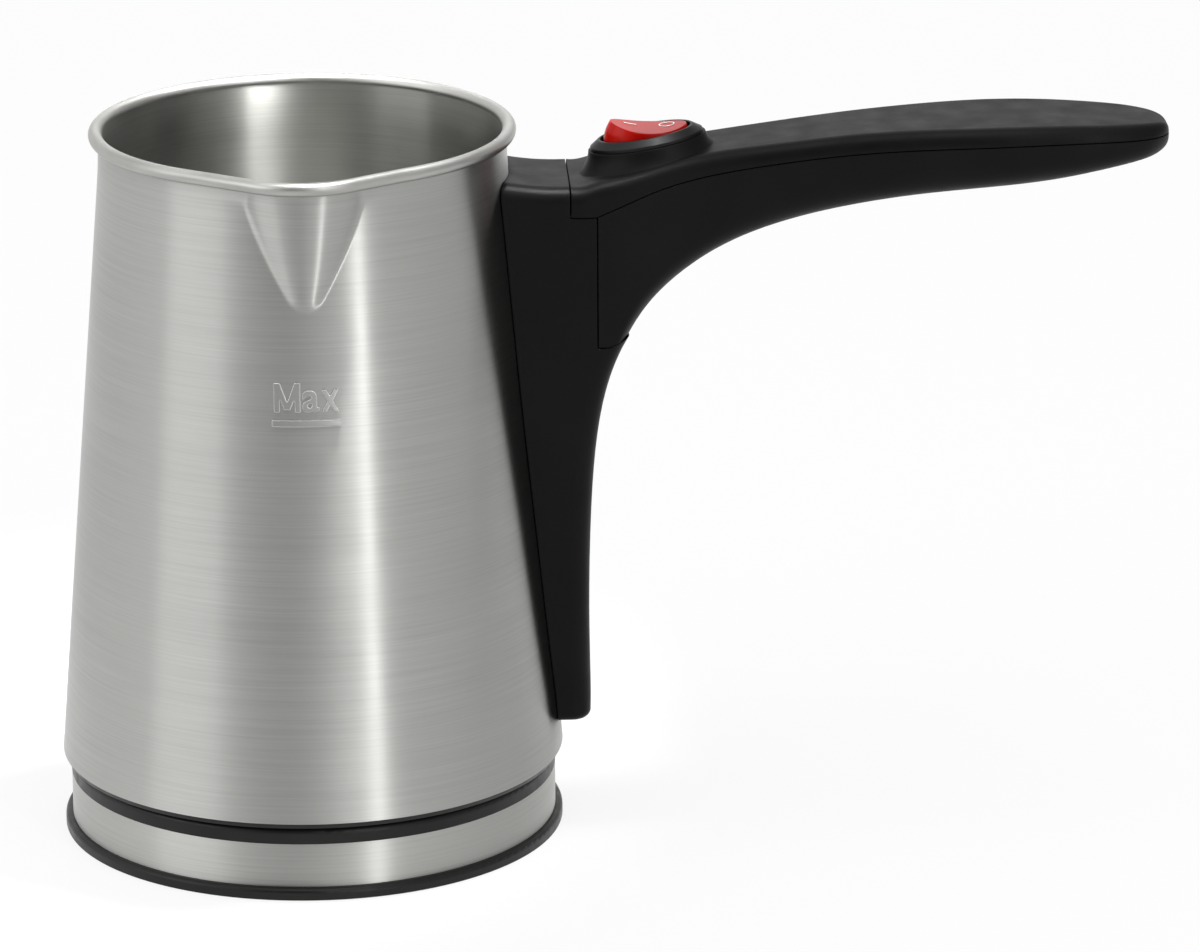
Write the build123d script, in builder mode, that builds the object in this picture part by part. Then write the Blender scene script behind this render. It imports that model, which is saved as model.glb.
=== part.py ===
from build123d import *
import math
import os

os.makedirs("parts", exist_ok=True)

# An electric coffee pot with one long handle, on its round power base.
# Millimetres. The origin is on the pot's axis at table level, +X runs along
# the handle, -Y points to the spout and +Z is up.

# ---- Power base ----
foot_radius = 51.9          # moulded ring that the base stands on
foot_height = 2.5
foot_edge = 1.0             # rounding of the foot ring
foot_ring_width = 4.4
floor_lift = 1.0            # underside of the base floor above the table
ring_lift = 0.1             # the foot ring clears the table, the pads touch it
trim_step = 1.5             # steel band inside the foot ring's edge
trim_thickness = 0.6
trim_height = 9.15
deck_height = 15.0          # top of the base
deck_thickness = 2.4
deck_edge = 1.3
shell_wall = 1.4            # moulded walls of the base
base_fit = 0.2              # between moulded walls that slide into each other
skirt_lift = 1.4            # deck skirt above the base floor
lower_wall_height = 6.0
pad_radius = 4.0            # rubber foot pads
pad_inset = 8.9             # middle of the pads inside the foot ring's edge
pad_count = 3
base_screw_circle = 33.0
base_screw_count = 3
base_post_radius = 3.2
screw_shank = 1.25          # self-tapping screws of the base and the cover
screw_head = 2.6
screw_head_height = 1.8
screw_fit = 0.1             # shank in its hole, per side
head_fit = 0.3              # head in its well, per side
well_wall = 1.3

# ---- Cord inlet, at the back of the base ----
inlet_height = 7.3
inlet_radius = 3.2          # bore for the mains cord
bush_wall = 1.0
bush_flange = 4.4           # flange radius, outside and inside the shell
bush_flange_thickness = 1.2
bush_fit = 0.1
bush_seat = 0.3             # flat flange off the round wall
clamp_inset = 12.4          # cord clamp inside the steel band
clamp_spacing = 12.0
clamp_post_radius = 2.4
clamp_length = 17.0
clamp_width = 5.0
clamp_thickness = 1.6
clamp_screw_radius = 1.0

# ---- Round power connector, post on the base and socket in the pot ----
post_radius = 12.5
post_rise = 7.5             # post above the deck
post_step = 0.8             # shoulder that seats the earth ring
post_step_height = 2.0      # shoulder above the deck
post_flange_radius = 19.0
post_flange_thickness = 2.0
post_depth = 6.0            # body of the connector below the deck's underside
post_body_radius = 11.0
post_edge = 0.8
pin_radius = 2.0            # centre pin of the pot
blade_radius = 7.4          # middle of the ring blade of the pot
blade_thickness = 0.8
contact_fit = 0.3           # moving blade or pin to the contact it meets
contact_thickness = 0.4
contact_lift = 1.0          # contacts below the post's top
contact_seat = 0.05         # contact against its own wall
socket_gap = 1.4            # post to socket, running clearance all round
socket_head = 1.0           # post's top to the socket's ceiling
socket_wall = 5.0
earth_ring_gap = 0.6        # pot's earth ring to the base's earth ring
connector_screw_circle = 16.0
connector_screw_radius = 0.9
connector_screw_bite = 1.6  # screw length in the deck

# ---- Running ring between base and pot ----
swivel_radius = 24.5        # middle of the ring
swivel_width = 4.4
swivel_recess = 1.2         # depth of its groove in the deck
parting_gap = 0.4           # gap seen between base and pot
swivel_fit = 0.4            # ring in its groove, per side

# ---- Pot ----
wall_foot = 16.5            # lower edge of the steel wall
wall_foot_radius = 52.0
neck_length = 5.4           # straight neck between the cone and the rim
neck_bend = 120.0           # rounding between cone and neck
neck_radius = 41.45
rim_height = 147.4          # middle of the rolled rim
wall_thickness = 0.8
bead_radius = 1.4           # rolled rim
bead_offset = 0.52          # rolled rim stands out from the wall's face
spout_reach = 5.2           # spout tip beyond the round neck
spout_nose = 16.3           # rounding of the rim at the spout
spout_top_radius = 14.8     # rounding of the pressed V at the rim
spout_length = 26.4         # from the rim down to the pressed V's lower end
spout_foot_radius = 5.8
spout_foot_depth = 0.25     # the V's lower end starts inside the wall
lip_inset = 0.1             # the lip's round part stays inside the neck
# depth below the rim and reach of the lip's sections, which flare out to the spout
lip_sections = [
    (13.4, 0.05),
    (8.4, 0.6),
    (3.9, 2.4),
    (0.0, spout_reach),
]
floor_height = 31.5         # top of the heater plate, underside of the pot floor
floor_lip = 2.4             # upturned edge of the pot floor
weld_fit = 0.08             # sheet against sheet
plate_gap = 3.94            # heater plate inside the wall
plate_thickness = 3.0
element_radius = 3.2        # heating element under the plate
element_gap = 70.0          # degrees left open, towards the spout
spout_bearing = 270.0       # degrees round the axis
braze_gap = 0.04
cold_pin_radius = 1.1
cold_pin_length = 5.0
cover_edge_step = 0.6       # lower edge of the visible bottom ring inside the wall's
cover_thickness = 1.6
cover_lip_height = 3.0
cover_lip_width = 1.4
cover_screw_inset = 5.4     # screws inside the heater plate's edge
cover_screw_count = 3
cover_post_radius = 3.2
disc_radius = 6.0           # snap disc that guards against boiling dry
disc_thickness = 0.5
disc_pocket_fit = 0.2
fuse_gap = 2.3              # fuse off the socket
fuse_radius = 1.9
fuse_length = 9.0
fuse_cap_radius = 2.2
fuse_cap_length = 1.6

# ---- Handle ----
handle_wall = 2.0
handle_seam = 0.25          # parting gap between the handle mouldings
column_bottom = 22.0
column_drop = 9.9           # top of the column below the rim
column_half_width = 13.7
cover_root_distance = 12.55 # upper cover's root beyond the neck
column_face_step = 5.4      # face that the grip is screwed to, beyond that root
column_round = 4.0
column_top_round = 3.0
column_bottom_round = 1.8
column_back = 12.0          # into the pot, cut away by the wall's shape
column_wall_fit = 0.12
# distance beyond the neck and rise of the column's top, which curves up to the pot
column_crown = [
    (-column_back, 2.1),
    (1.05, 0.8),
    (7.05, 0.1),
    (cover_root_distance, 0.0),
    (cover_root_distance + column_face_step, 0.0),
]
joint_drop = 30.9           # end of the column's own form below its top
# share of its height, half width and stand-off from the wall of the column's sections
column_sections = [
    (0.0, 9.4, 6.11),
    (0.213, 10.6, 7.53),
    (0.449, 12.0, 9.31),
    (0.626, 12.9, 11.22),
    (0.757, 13.4, 13.29),
    (0.863, 13.6, 15.9),
    (0.934, 13.7, 18.5),
    (1.0, 13.7, 21.97),
]
grip_length = 122.5         # from the upper cover's root to the tip
grip_top_round = 3.0
grip_under_round = 6.0
# share of the grip's length, half width, top and underside over the column's top
grip_sections = [
    (0.0, 13.7, 0.0, -61.5),
    (0.0441, 13.7, 0.9, -48.5),
    (0.0808, 13.5, 1.8, -35.7),
    (0.1184, 13.0, 2.9, -27.4),
    (0.1755, 12.0, 4.7, -20.3),
    (0.2449, 11.3, 6.25, -14.7),
    (0.3429, 11.7, 7.8, -9.6),
    (0.4571, 12.3, 9.4, -6.05),
    (0.5796, 13.5, 10.5, -3.55),
    (0.702, 14.6, 11.0, -1.95),
    (0.8, 14.0, 11.0, -0.8),
    (0.8898, 12.4, 10.6, 1.1),
    (0.9388, 10.6, 10.3, 2.2),
    (0.9673, 8.6, 10.0, 2.9),
    (0.9878, 5.9, 9.5, 3.8),
    (0.9967, 3.9, 8.8, 4.6),
    (1.0, 2.4, 7.9, 5.5),
]
hollow_section_count = 13   # sections that the grip's hollow runs through
seam_drop = 5.8             # level part of the seam below the column's top
# share of the grip's length and rise over that level of the seam between its halves
seam_points = [
    (0.042, 0.0),
    (0.077, 1.8),
    (0.145, 5.1),
    (0.247, 8.1),
    (0.448, 11.6),
    (0.645, 13.2),
    (0.845, 13.6),
    (1.02, 13.0),
]
lower_seam_drop = 33.3      # seam between column and lower shell, below the top
lower_seam_lift = 1.8       # its rise over its length
lower_seam_bend_step = 2.2  # where it starts to rise, beyond the column's face
end_wall = 2.2              # lower shell's wall against the column
bracket_bottom = 36.0       # steel channel welded to the pot wall
bracket_drop = 17.5         # its top below the column's top
bracket_half_width = 8.0
bracket_depth = 4.6
bracket_thickness = 1.2
handle_screw_drops = (26.5, 20.7)   # below the column's top
handle_screw_radius = 1.4
handle_screw_head = 2.7
handle_screw_head_height = 2.0
boss_wall = 2.0
window_drop = 12.5          # way through for the wires, its middle below the top
window_half_height = 3.6
window_half_width = 8.0
grip_screw_distances = (50.0, 98.0) # from the upper cover's root
grip_screw_radius = 1.4
grip_screw_head = 2.7
grip_screw_head_height = 2.0
grip_post_radius = 3.4
grip_screw_bite = 6.6       # screw length above its head
grip_screw_sink = 0.5       # head below the handle's underside
grip_screw_ledge = 2.4      # lower shell's thickness over the head

# ---- Rocker switch in the upper cover ----
switch_distance = 16.0      # middle of the bezel from the upper cover's root
switch_rise = 6.6           # over the column's top
switch_tilt = 9.7           # the bezel rises away from the pot
bezel_half_length = 11.6
bezel_half_width = 8.0
bezel_side = 0.7
bezel_rise = 1.2
bezel_lip = 0.5             # flat rim round the opening
boss_margin = 0.5           # boss round the bezel, at its top
# depth and spread of the boss's sections, which flare out into the handle's top
boss_sections = [
    (4.6, 3.1),
    (2.9, 1.4),
    (1.4, 0.45),
    (0.0, 0.0),
]
well_half_length = 9.35     # oval opening that the rocker sits in
well_half_width = 6.1
body_half_length = 10.9     # switch body below the bezel
body_half_width = 7.4
body_depth = 12.0
body_floor = 1.7
body_fit = 0.15
ear_half_length = 1.5       # snap ears that hold the switch under the cover
ear_width = 0.8
ear_height = 1.2
ear_depth = 6.3
pivot_depth = 0.6           # rocker pivot below the bezel's lower edge
rocker_radius = 9.0
rocker_half_width = 5.6
rocker_end_rise = 5.0
rocker_mid_rise = 3.25
rocker_drop = 4.2
rocker_half_throw = 12.0    # the rocker rests at this tilt, switched off
trunnion_radius = 1.2
trunnion_fit = 0.06
trunnion_length = 1.2
lamp_radius = 1.5
lamp_length = 5.4
lamp_offset = 5.0
lamp_fit = 0.15
plunger_radius = 1.2
plunger_length = 5.2
plunger_fit = 0.1
spring_radius = 0.85
spring_wire = 0.2           # radius of the wire
spring_pitch = 0.8
lever_pivot_drop = 7.8      # contact lever's fulcrum below the rocker's pivot
lever_half_length = 6.4
lever_half_width = 1.6
lever_thickness = 0.5
lever_half_throw = 6.0
lever_clear = 0.3
lever_pin_radius = 0.6
terminal_spacing = 6.6
terminal_width = 4.4
terminal_thickness = 0.8
terminal_drop = 6.0         # tabs below the switch body
terminal_rise = 0.7         # tabs above the floor of the switch body

# ---- Wires ----
wire_radius = 0.8
wire_spread = 5.0           # feed and return wires either side of the screws
wire_hole_drop = 3.7        # hole for the wires, below the pot's floor
wire_hole_radius = 2.8
grommet_wall = 0.7
grommet_flange = 3.4        # flange radius, inside and outside the wall
grommet_flange_thickness = 0.6
grommet_seat = 0.3          # flat flange off the round wall
wire_stand_off = 2.4        # wires off the steel wall in the channel
wire_bend = 1.0             # bend of a wire's middle line
wire_end_fit = 0.15
wire_outward = 1.4          # wires bend up this far beyond the channel's line
lamp_wire_outward = 0.35
lamp_wire_inward = 1.7
lamp_wire_side = 2.9        # lamp wire beside the screws
lamp_wire_turn_drop = 39.5  # where it moves there, below the column's top
lamp_wire_step = 6.0


def wall_radius(height):
    """Outer radius of the steel wall at a height."""
    slope = (wall_foot_radius - neck_radius) / (neck_height - wall_foot)
    return wall_foot_radius - slope * (min(height, neck_height) - wall_foot)


def ring(outer, inner, low, high, mode=Mode.ADD):
    """Round wall or disc about the pot's axis, between two heights."""
    with BuildSketch(Plane.XY.offset(low)) as section:
        Circle(outer)
        if inner > 0:
            Circle(inner, mode=Mode.SUBTRACT)
    extrude(section.sketch, amount=high - low, mode=mode)


def save(part, name):
    """Label a finished piece and write it to its file."""
    part.label = name
    export_step(part, "parts/" + name + ".step")


# ---- Sizes that follow from the sizes above ----
trim_radius = foot_radius - trim_step
trim_top = foot_height + trim_height
pad_circle = foot_radius - pad_inset
clamp_distance = trim_radius - clamp_inset
deck_under = deck_height - deck_thickness
skirt_outer = trim_radius - trim_thickness - base_fit
skirt_inner = skirt_outer - shell_wall
skirt_bottom = foot_height + skirt_lift
lower_wall_outer = skirt_inner - base_fit
post_top = deck_height + post_rise
post_bottom = deck_under - post_depth
pot_bottom = deck_height + parting_gap
plate_bottom = floor_height - plate_thickness
socket_recess = post_radius + socket_gap
socket_ceiling = post_top + socket_head
socket_radius = socket_recess + socket_wall
neck_height = rim_height - neck_length
spout_foot = rim_height - spout_length
plate_radius = wall_radius(floor_height) - wall_thickness - plate_gap
cover_edge_radius = wall_foot_radius - cover_edge_step
cover_top = pot_bottom + cover_thickness
cover_screw_circle = plate_radius - cover_screw_inset
fuse_circle = socket_radius + fuse_gap + fuse_cap_radius
element_circle = (fuse_circle + fuse_cap_radius + cover_screw_circle - cover_post_radius) / 2
element_height = plate_bottom - braze_gap - element_radius
wire_level = (cover_top + element_height - element_radius) / 2
wire_hole_height = floor_height - wire_hole_drop
column_top = rim_height - column_drop
joint_height = column_top - joint_drop
cover_root = neck_radius + cover_root_distance
column_face = cover_root + column_face_step
seam_step = column_top - seam_drop
lower_seam_rise = column_top - lower_seam_drop
lower_seam_end = lower_seam_rise + lower_seam_lift
lower_seam_bend = column_face + lower_seam_bend_step
bracket_top = column_top - bracket_drop
handle_screw_heights = [column_top - drop for drop in handle_screw_drops]
window_height = column_top - window_drop
grip_screw_positions = [cover_root + distance for distance in grip_screw_distances]
switch_x = cover_root + switch_distance
switch_z = column_top + switch_rise
lamp_wire_turn = column_top - lamp_wire_turn_drop
bush_inner_face = lower_wall_outer - shell_wall - bush_seat - bush_flange_thickness
bush_outer_face = trim_radius + bush_flange_thickness
inlet_axis = Plane(origin=(0, 0, inlet_height), x_dir=(1, 0, 0), z_dir=(0, 1, 0))


# ==== Power base ====

# Moulded floor with the foot ring, a locating wall for the deck's skirt, wells
# for the base screws and two posts for the cord clamp.
with BuildPart() as base_lower_shell:
    ring(foot_radius, 0, ring_lift, foot_height)
    foot_rim = base_lower_shell.edges().filter_by(GeomType.CIRCLE)
    fillet(foot_rim.sort_by(Axis.Z)[-1], foot_edge)
    ring(foot_radius - foot_ring_width, 0, ring_lift, floor_lift, Mode.SUBTRACT)
    ring(lower_wall_outer, lower_wall_outer - shell_wall, foot_height,
         foot_height + lower_wall_height)
    well_radius = screw_head + head_fit
    well_top = floor_lift + screw_head_height + head_fit
    with PolarLocations(base_screw_circle, base_screw_count, start_angle=30):
        with Locations((0, 0, foot_height)):
            Cylinder(well_radius + well_wall, well_top + well_wall - foot_height,
                     align=(Align.CENTER, Align.CENTER, Align.MIN))
        with Locations((0, 0, floor_lift)):
            Cylinder(well_radius, well_top - floor_lift, mode=Mode.SUBTRACT,
                     align=(Align.CENTER, Align.CENTER, Align.MIN))
            Cylinder(screw_shank + screw_fit, deck_height, mode=Mode.SUBTRACT,
                     align=(Align.CENTER, Align.CENTER, Align.MIN))
    clamp_seat = inlet_height + inlet_radius
    with Locations((-clamp_spacing / 2, clamp_distance, foot_height),
                   (clamp_spacing / 2, clamp_distance, foot_height)):
        Cylinder(clamp_post_radius, clamp_seat - foot_height - clamp_thickness,
                 align=(Align.CENTER, Align.CENTER, Align.MIN))
        Cylinder(clamp_screw_radius + screw_fit, clamp_seat, mode=Mode.SUBTRACT,
                 align=(Align.CENTER, Align.CENTER, Align.MIN))
    with BuildSketch(inlet_axis.offset(bush_inner_face)):
        Circle(inlet_radius + bush_wall + bush_fit)
    extrude(amount=foot_radius - bush_inner_face, mode=Mode.SUBTRACT)
save(base_lower_shell.part, "base_lower_shell")

# Brushed steel band, pressed round the base between foot ring and deck.
with BuildPart() as base_trim_band:
    ring(trim_radius, trim_radius - trim_thickness, foot_height, trim_top)
    with BuildSketch(inlet_axis.offset(trim_radius - 2 * trim_thickness)):
        Circle(inlet_radius + bush_wall + bush_fit)
    extrude(amount=3 * trim_thickness, mode=Mode.SUBTRACT)
save(base_trim_band.part, "base_trim_band")

# Deck: black shoulder above the band, skirt inside it, groove for the running
# ring, hole for the connector post and posts for the base screws.
with BuildPart() as base_upper_shell:
    ring(trim_radius, 0, trim_top, deck_height)
    shoulder = base_upper_shell.edges().filter_by(GeomType.CIRCLE)
    fillet(shoulder.sort_by(Axis.Z)[-1], deck_edge)
    ring(skirt_outer, 0, skirt_bottom, trim_top)
    ring(skirt_inner, 0, skirt_bottom, deck_under, Mode.SUBTRACT)
    ring(post_radius + base_fit, 0, deck_under, deck_height, Mode.SUBTRACT)
    ring(swivel_radius + swivel_width / 2 + swivel_fit,
         swivel_radius - swivel_width / 2 - swivel_fit,
         deck_height - swivel_recess, deck_height, Mode.SUBTRACT)
    with PolarLocations(base_screw_circle, base_screw_count, start_angle=30):
        with Locations((0, 0, well_top + well_wall)):
            Cylinder(base_post_radius, deck_under - well_top - well_wall,
                     align=(Align.CENTER, Align.CENTER, Align.MIN))
            Cylinder(screw_shank + screw_fit, deck_under - well_top - well_wall,
                     mode=Mode.SUBTRACT, align=(Align.CENTER, Align.CENTER, Align.MIN))
    with PolarLocations(connector_screw_circle, 2, start_angle=0):
        with Locations((0, 0, deck_under)):
            Cylinder(connector_screw_radius + screw_fit, connector_screw_bite + screw_fit,
                     mode=Mode.SUBTRACT, align=(Align.CENTER, Align.CENTER, Align.MIN))
    with BuildSketch(inlet_axis.offset(bush_inner_face)):
        Circle(inlet_radius + bush_wall + bush_fit)
    extrude(amount=foot_radius - bush_inner_face, mode=Mode.SUBTRACT)
save(base_upper_shell.part, "base_upper_shell")

# Screws that hold the two base mouldings together, driven from below.
with BuildPart() as base_screws:
    with PolarLocations(base_screw_circle, base_screw_count, start_angle=30):
        with Locations((0, 0, well_top - screw_head_height)):
            Cylinder(screw_head, screw_head_height,
                     align=(Align.CENTER, Align.CENTER, Align.MIN))
        with Locations((0, 0, well_top)):
            Cylinder(screw_shank, deck_under - well_top - 2 * screw_fit,
                     align=(Align.CENTER, Align.CENTER, Align.MIN))
save(base_screws.part, "base_screws")

# Rubber pads under the base floor.
with BuildPart() as rubber_feet:
    with PolarLocations(pad_circle, pad_count, start_angle=90):
        Cylinder(pad_radius, floor_lift, align=(Align.CENTER, Align.CENTER, Align.MIN))
    pad_edges = rubber_feet.edges().filter_by(GeomType.CIRCLE).group_by(Axis.Z)[0]
    fillet(pad_edges, floor_lift / 4)
save(rubber_feet.part, "rubber_feet")

# Rubber gland that the mains cord passes, with a flange on each side.
with BuildPart() as cord_bush:
    with BuildSketch(inlet_axis.offset(bush_inner_face)):
        Circle(inlet_radius + bush_wall)
    extrude(amount=bush_outer_face - bush_inner_face)
    for flange_face in (bush_inner_face, trim_radius):
        with BuildSketch(inlet_axis.offset(flange_face)):
            Circle(bush_flange)
        extrude(amount=bush_flange_thickness)
    rim_edges = cord_bush.edges().filter_by(GeomType.CIRCLE).sort_by(Axis.Y)[-1]
    fillet(rim_edges, bush_wall / 3)
    with BuildSketch(inlet_axis.offset(bush_inner_face)):
        Circle(inlet_radius)
    extrude(amount=bush_outer_face - bush_inner_face, mode=Mode.SUBTRACT)
save(cord_bush.part, "cord_bush")

# Saddle that clamps the cord on two posts inside the base.
with BuildPart() as cord_clamp:
    with BuildSketch(Plane.XY.offset(clamp_seat - clamp_thickness)):
        with Locations((0, clamp_distance)):
            SlotOverall(clamp_length, clamp_width)
        with Locations((-clamp_spacing / 2, clamp_distance),
                       (clamp_spacing / 2, clamp_distance)):
            Circle(clamp_screw_radius + screw_fit, mode=Mode.SUBTRACT)
    extrude(amount=clamp_thickness)
save(cord_clamp.part, "cord_clamp")

# Screws of the cord clamp.
with BuildPart() as cord_clamp_screws:
    with Locations((-clamp_spacing / 2, clamp_distance, clamp_seat),
                   (clamp_spacing / 2, clamp_distance, clamp_seat)):
        Cylinder(2 * clamp_screw_radius, clamp_screw_radius,
                 align=(Align.CENTER, Align.CENTER, Align.MIN))
        Cylinder(clamp_screw_radius, 2 * clamp_thickness,
                 align=(Align.CENTER, Align.CENTER, Align.MAX))
save(cord_clamp_screws.part, "cord_clamp_screws")


# ==== Power connector on the base ====

pin_bore = pin_radius + contact_fit + contact_thickness + contact_seat
slot_inner = blade_radius - blade_thickness / 2 - contact_fit - contact_thickness
slot_outer = blade_radius + blade_thickness / 2 + contact_fit
earth_seat = deck_height + post_step_height
post_neck = post_radius - post_step

# Moulded connector: flange under the deck, post through it, a bore for the
# pot's pin and a round slot for its ring blade.
with BuildPart() as base_connector:
    ring(post_flange_radius, 0, deck_under - post_flange_thickness, deck_under)
    ring(post_body_radius, 0, post_bottom, deck_under)
    ring(post_radius, 0, deck_under, earth_seat)
    ring(post_neck, 0, earth_seat, post_top)
    top_edge = base_connector.edges().filter_by(GeomType.CIRCLE).sort_by(Axis.Z)[-1]
    fillet(top_edge, post_edge)
    ring(pin_bore, 0, deck_under, post_top, Mode.SUBTRACT)
    ring(slot_outer, slot_inner - contact_seat, deck_under, post_top, Mode.SUBTRACT)
    with PolarLocations(connector_screw_circle, 2, start_angle=0):
        with Locations((0, 0, deck_under - post_flange_thickness)):
            Cylinder(connector_screw_radius + screw_fit, post_flange_thickness,
                     mode=Mode.SUBTRACT, align=(Align.CENTER, Align.CENTER, Align.MIN))
save(base_connector.part, "base_connector")

# Screws that hold the connector's flange to the deck.
with BuildPart() as connector_screws:
    flange_under = deck_under - post_flange_thickness
    with PolarLocations(connector_screw_circle, 2, start_angle=0):
        with Locations((0, 0, flange_under)):
            Cylinder(2 * connector_screw_radius, connector_screw_radius,
                     align=(Align.CENTER, Align.CENTER, Align.MAX))
            Cylinder(connector_screw_radius, post_flange_thickness + connector_screw_bite,
                     align=(Align.CENTER, Align.CENTER, Align.MIN))
save(connector_screws.part, "connector_screws")

# Sprung sleeve that grips the pot's centre pin, with its tail below.
with BuildPart() as base_live_contact:
    sleeve_outer = pin_bore - contact_seat
    ring(sleeve_outer, sleeve_outer - contact_thickness, deck_under,
         post_top - contact_lift)
    ring(sleeve_outer, 0, deck_under, deck_under + contact_thickness)
save(base_live_contact.part, "base_live_contact")

# Round contact that the pot's ring blade slides on.
with BuildPart() as base_neutral_contact:
    ring(slot_inner + contact_thickness, slot_inner, deck_under,
         post_top - contact_lift)
save(base_neutral_contact.part, "base_neutral_contact")

# Earth ring on the shoulder of the post.
with BuildPart() as base_earth_contact:
    ring(post_radius, post_neck + contact_seat, earth_seat,
         earth_seat + 3 * post_step)
save(base_earth_contact.part, "base_earth_contact")


# ==== Running ring ====

# Low friction ring in the deck's groove: the pot stands and turns on it.
with BuildPart() as swivel_ring:
    ring(swivel_radius + swivel_width / 2, swivel_radius - swivel_width / 2,
         deck_height - swivel_recess, pot_bottom)
save(swivel_ring.part, "swivel_ring")


# ==== Pot ====


def neck_outline(height, radius, reach, nose):
    """Round outline with a lip towards -Y: circle, two tangents and a nose arc."""
    nose_centre = radius + reach - nose
    turn = math.acos((radius - nose) / nose_centre)
    side = (math.sin(turn), -math.cos(turn))
    right_start = (radius * side[0], radius * side[1])
    right_end = (nose * side[0], nose * side[1] - nose_centre)
    left_start = (-right_start[0], right_start[1])
    left_end = (-right_end[0], right_end[1])
    with BuildLine(Plane.XY.offset(height)) as outline:
        ThreePointArc(right_start, (0, radius), left_start)
        Line(left_start, left_end)
        ThreePointArc(left_end, (0, -nose_centre - nose), right_end)
        Line(right_end, right_start)
    return outline.line


def pot_form(inset):
    """Closed form of the pot: inset 0 for its outside, the wall for its inside."""
    foot = wall_foot_radius - inset
    neck = neck_radius - inset
    slope = math.atan2(foot - neck, neck_height - wall_foot)
    lean = (math.sin(slope), math.cos(slope))
    bend_reach = (neck_bend + inset) * math.tan(slope / 2)
    bend_start = (neck + bend_reach * lean[0], neck_height - bend_reach * lean[1])
    with BuildPart() as form:
        with BuildSketch(Plane.XZ):
            with BuildLine():
                Polyline((neck, neck_height + bend_reach), (neck, rim_height),
                         (0, rim_height), (0, wall_foot), (foot, wall_foot),
                         bend_start)
                TangentArc(bend_start, (neck, neck_height + bend_reach),
                           tangent=(-lean[0], lean[1]))
            make_face()
        revolve(axis=Axis.Z)
        with BuildSketch(Plane.XY.offset(spout_foot)) as spout_low:
            inner_foot = wall_radius(spout_foot) - spout_foot_depth
            with Locations((0, spout_foot_radius - inner_foot)):
                Circle(spout_foot_radius - inset)
        with BuildSketch(Plane.XY.offset(rim_height)) as spout_high:
            tip = neck_radius + spout_reach
            with Locations((0, spout_top_radius - tip)):
                Circle(spout_top_radius - inset)
        loft([spout_low.sketch, spout_high.sketch], ruled=True)
        with BuildPart(mode=Mode.PRIVATE) as lip:
            for depth, reach in lip_sections:
                with BuildSketch(Plane.XY.offset(rim_height - depth)):
                    make_face(neck_outline(0, neck - lip_inset, reach + lip_inset,
                                           spout_nose - inset))
            loft()
        add(lip.part)
    return form.part


# Deep drawn steel wall: a cone with a pressed V spout and a rolled rim, and a
# hole near its foot for the wires.
with BuildPart() as pot_wall:
    add(pot_form(0))
    add(pot_form(wall_thickness), mode=Mode.SUBTRACT)
    bead_path = neck_outline(rim_height, neck_radius + bead_offset, spout_reach,
                             spout_nose + bead_offset)
    bead_start = Plane(origin=bead_path @ 0, z_dir=bead_path % 0)
    with BuildSketch(bead_start):
        Circle(bead_radius)
    sweep(path=bead_path)
    with BuildSketch(Plane.YZ.offset(plate_radius)):
        with Locations((0, wire_hole_height)):
            Circle(wire_hole_radius)
    extrude(amount=2 * (wall_foot_radius - plate_radius), mode=Mode.SUBTRACT)
save(pot_wall.part, "pot_wall")

# Steel floor of the pot, welded in with an upturned edge that follows the cone.
with BuildPart() as pot_floor:
    floor_top = floor_height + wall_thickness
    lip_top = floor_height + floor_lip
    lip_fit = wall_thickness + weld_fit
    with BuildSketch(Plane.XZ):
        with BuildLine():
            Polyline((0, floor_height),
                     (wall_radius(floor_height) - lip_fit, floor_height),
                     (wall_radius(lip_top) - lip_fit, lip_top),
                     (wall_radius(lip_top) - lip_fit - wall_thickness, lip_top),
                     (wall_radius(floor_top) - lip_fit - wall_thickness, floor_top),
                     (0, floor_top), close=True)
        make_face()
    revolve(axis=Axis.Z)
save(pot_floor.part, "pot_floor")

# Aluminium plate that spreads the heat under the floor, tapped for the cover.
with BuildPart() as heater_plate:
    ring(plate_radius, 0, plate_bottom, floor_height)
    with PolarLocations(cover_screw_circle, cover_screw_count, start_angle=90):
        with Locations((0, 0, plate_bottom)):
            Cylinder(screw_shank + screw_fit, plate_thickness / 2, mode=Mode.SUBTRACT,
                     align=(Align.CENTER, Align.CENTER, Align.MIN))
save(heater_plate.part, "heater_plate")

# Sheathed heating element, a round tube bent to an open ring under the plate.
with BuildPart() as heating_element:
    element_start = spout_bearing + element_gap / 2
    with BuildLine(Plane.XY.offset(element_height)) as element_path:
        CenterArc((0, 0), element_circle, element_start, 360 - element_gap)
    with BuildSketch(Plane(origin=element_path.line @ 0, z_dir=element_path.line % 0)):
        Circle(element_radius)
    sweep(path=element_path.line)
save(heating_element.part, "heating_element")

# Cold pins that stand out of the element's two ends.
with BuildPart() as element_cold_pins:
    for share, way in ((0, -1), (1, 1)):
        end_point = element_path.line @ share
        end_way = (element_path.line % share) * way
        with BuildSketch(Plane(origin=end_point, z_dir=end_way)):
            Circle(cold_pin_radius)
        extrude(amount=cold_pin_length)
save(element_cold_pins.part, "element_cold_pins")

# Control under the plate: the socket that drops over the base's post, with a
# pocket on top for the snap disc.
with BuildPart() as connector_socket:
    ring(socket_radius, 0, pot_bottom, plate_bottom)
    ring(socket_recess, 0, pot_bottom, socket_ceiling, Mode.SUBTRACT)
    blade_seat = socket_ceiling + blade_thickness
    ring(blade_radius + blade_thickness / 2 + contact_seat,
         blade_radius - blade_thickness / 2 - contact_seat,
         socket_ceiling, blade_seat, Mode.SUBTRACT)
    ring(pin_radius + contact_seat, 0, socket_ceiling, plate_bottom, Mode.SUBTRACT)
    ring(disc_radius + disc_pocket_fit, 0, plate_bottom - 2 * disc_thickness,
         plate_bottom, Mode.SUBTRACT)
save(connector_socket.part, "connector_socket")

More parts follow.
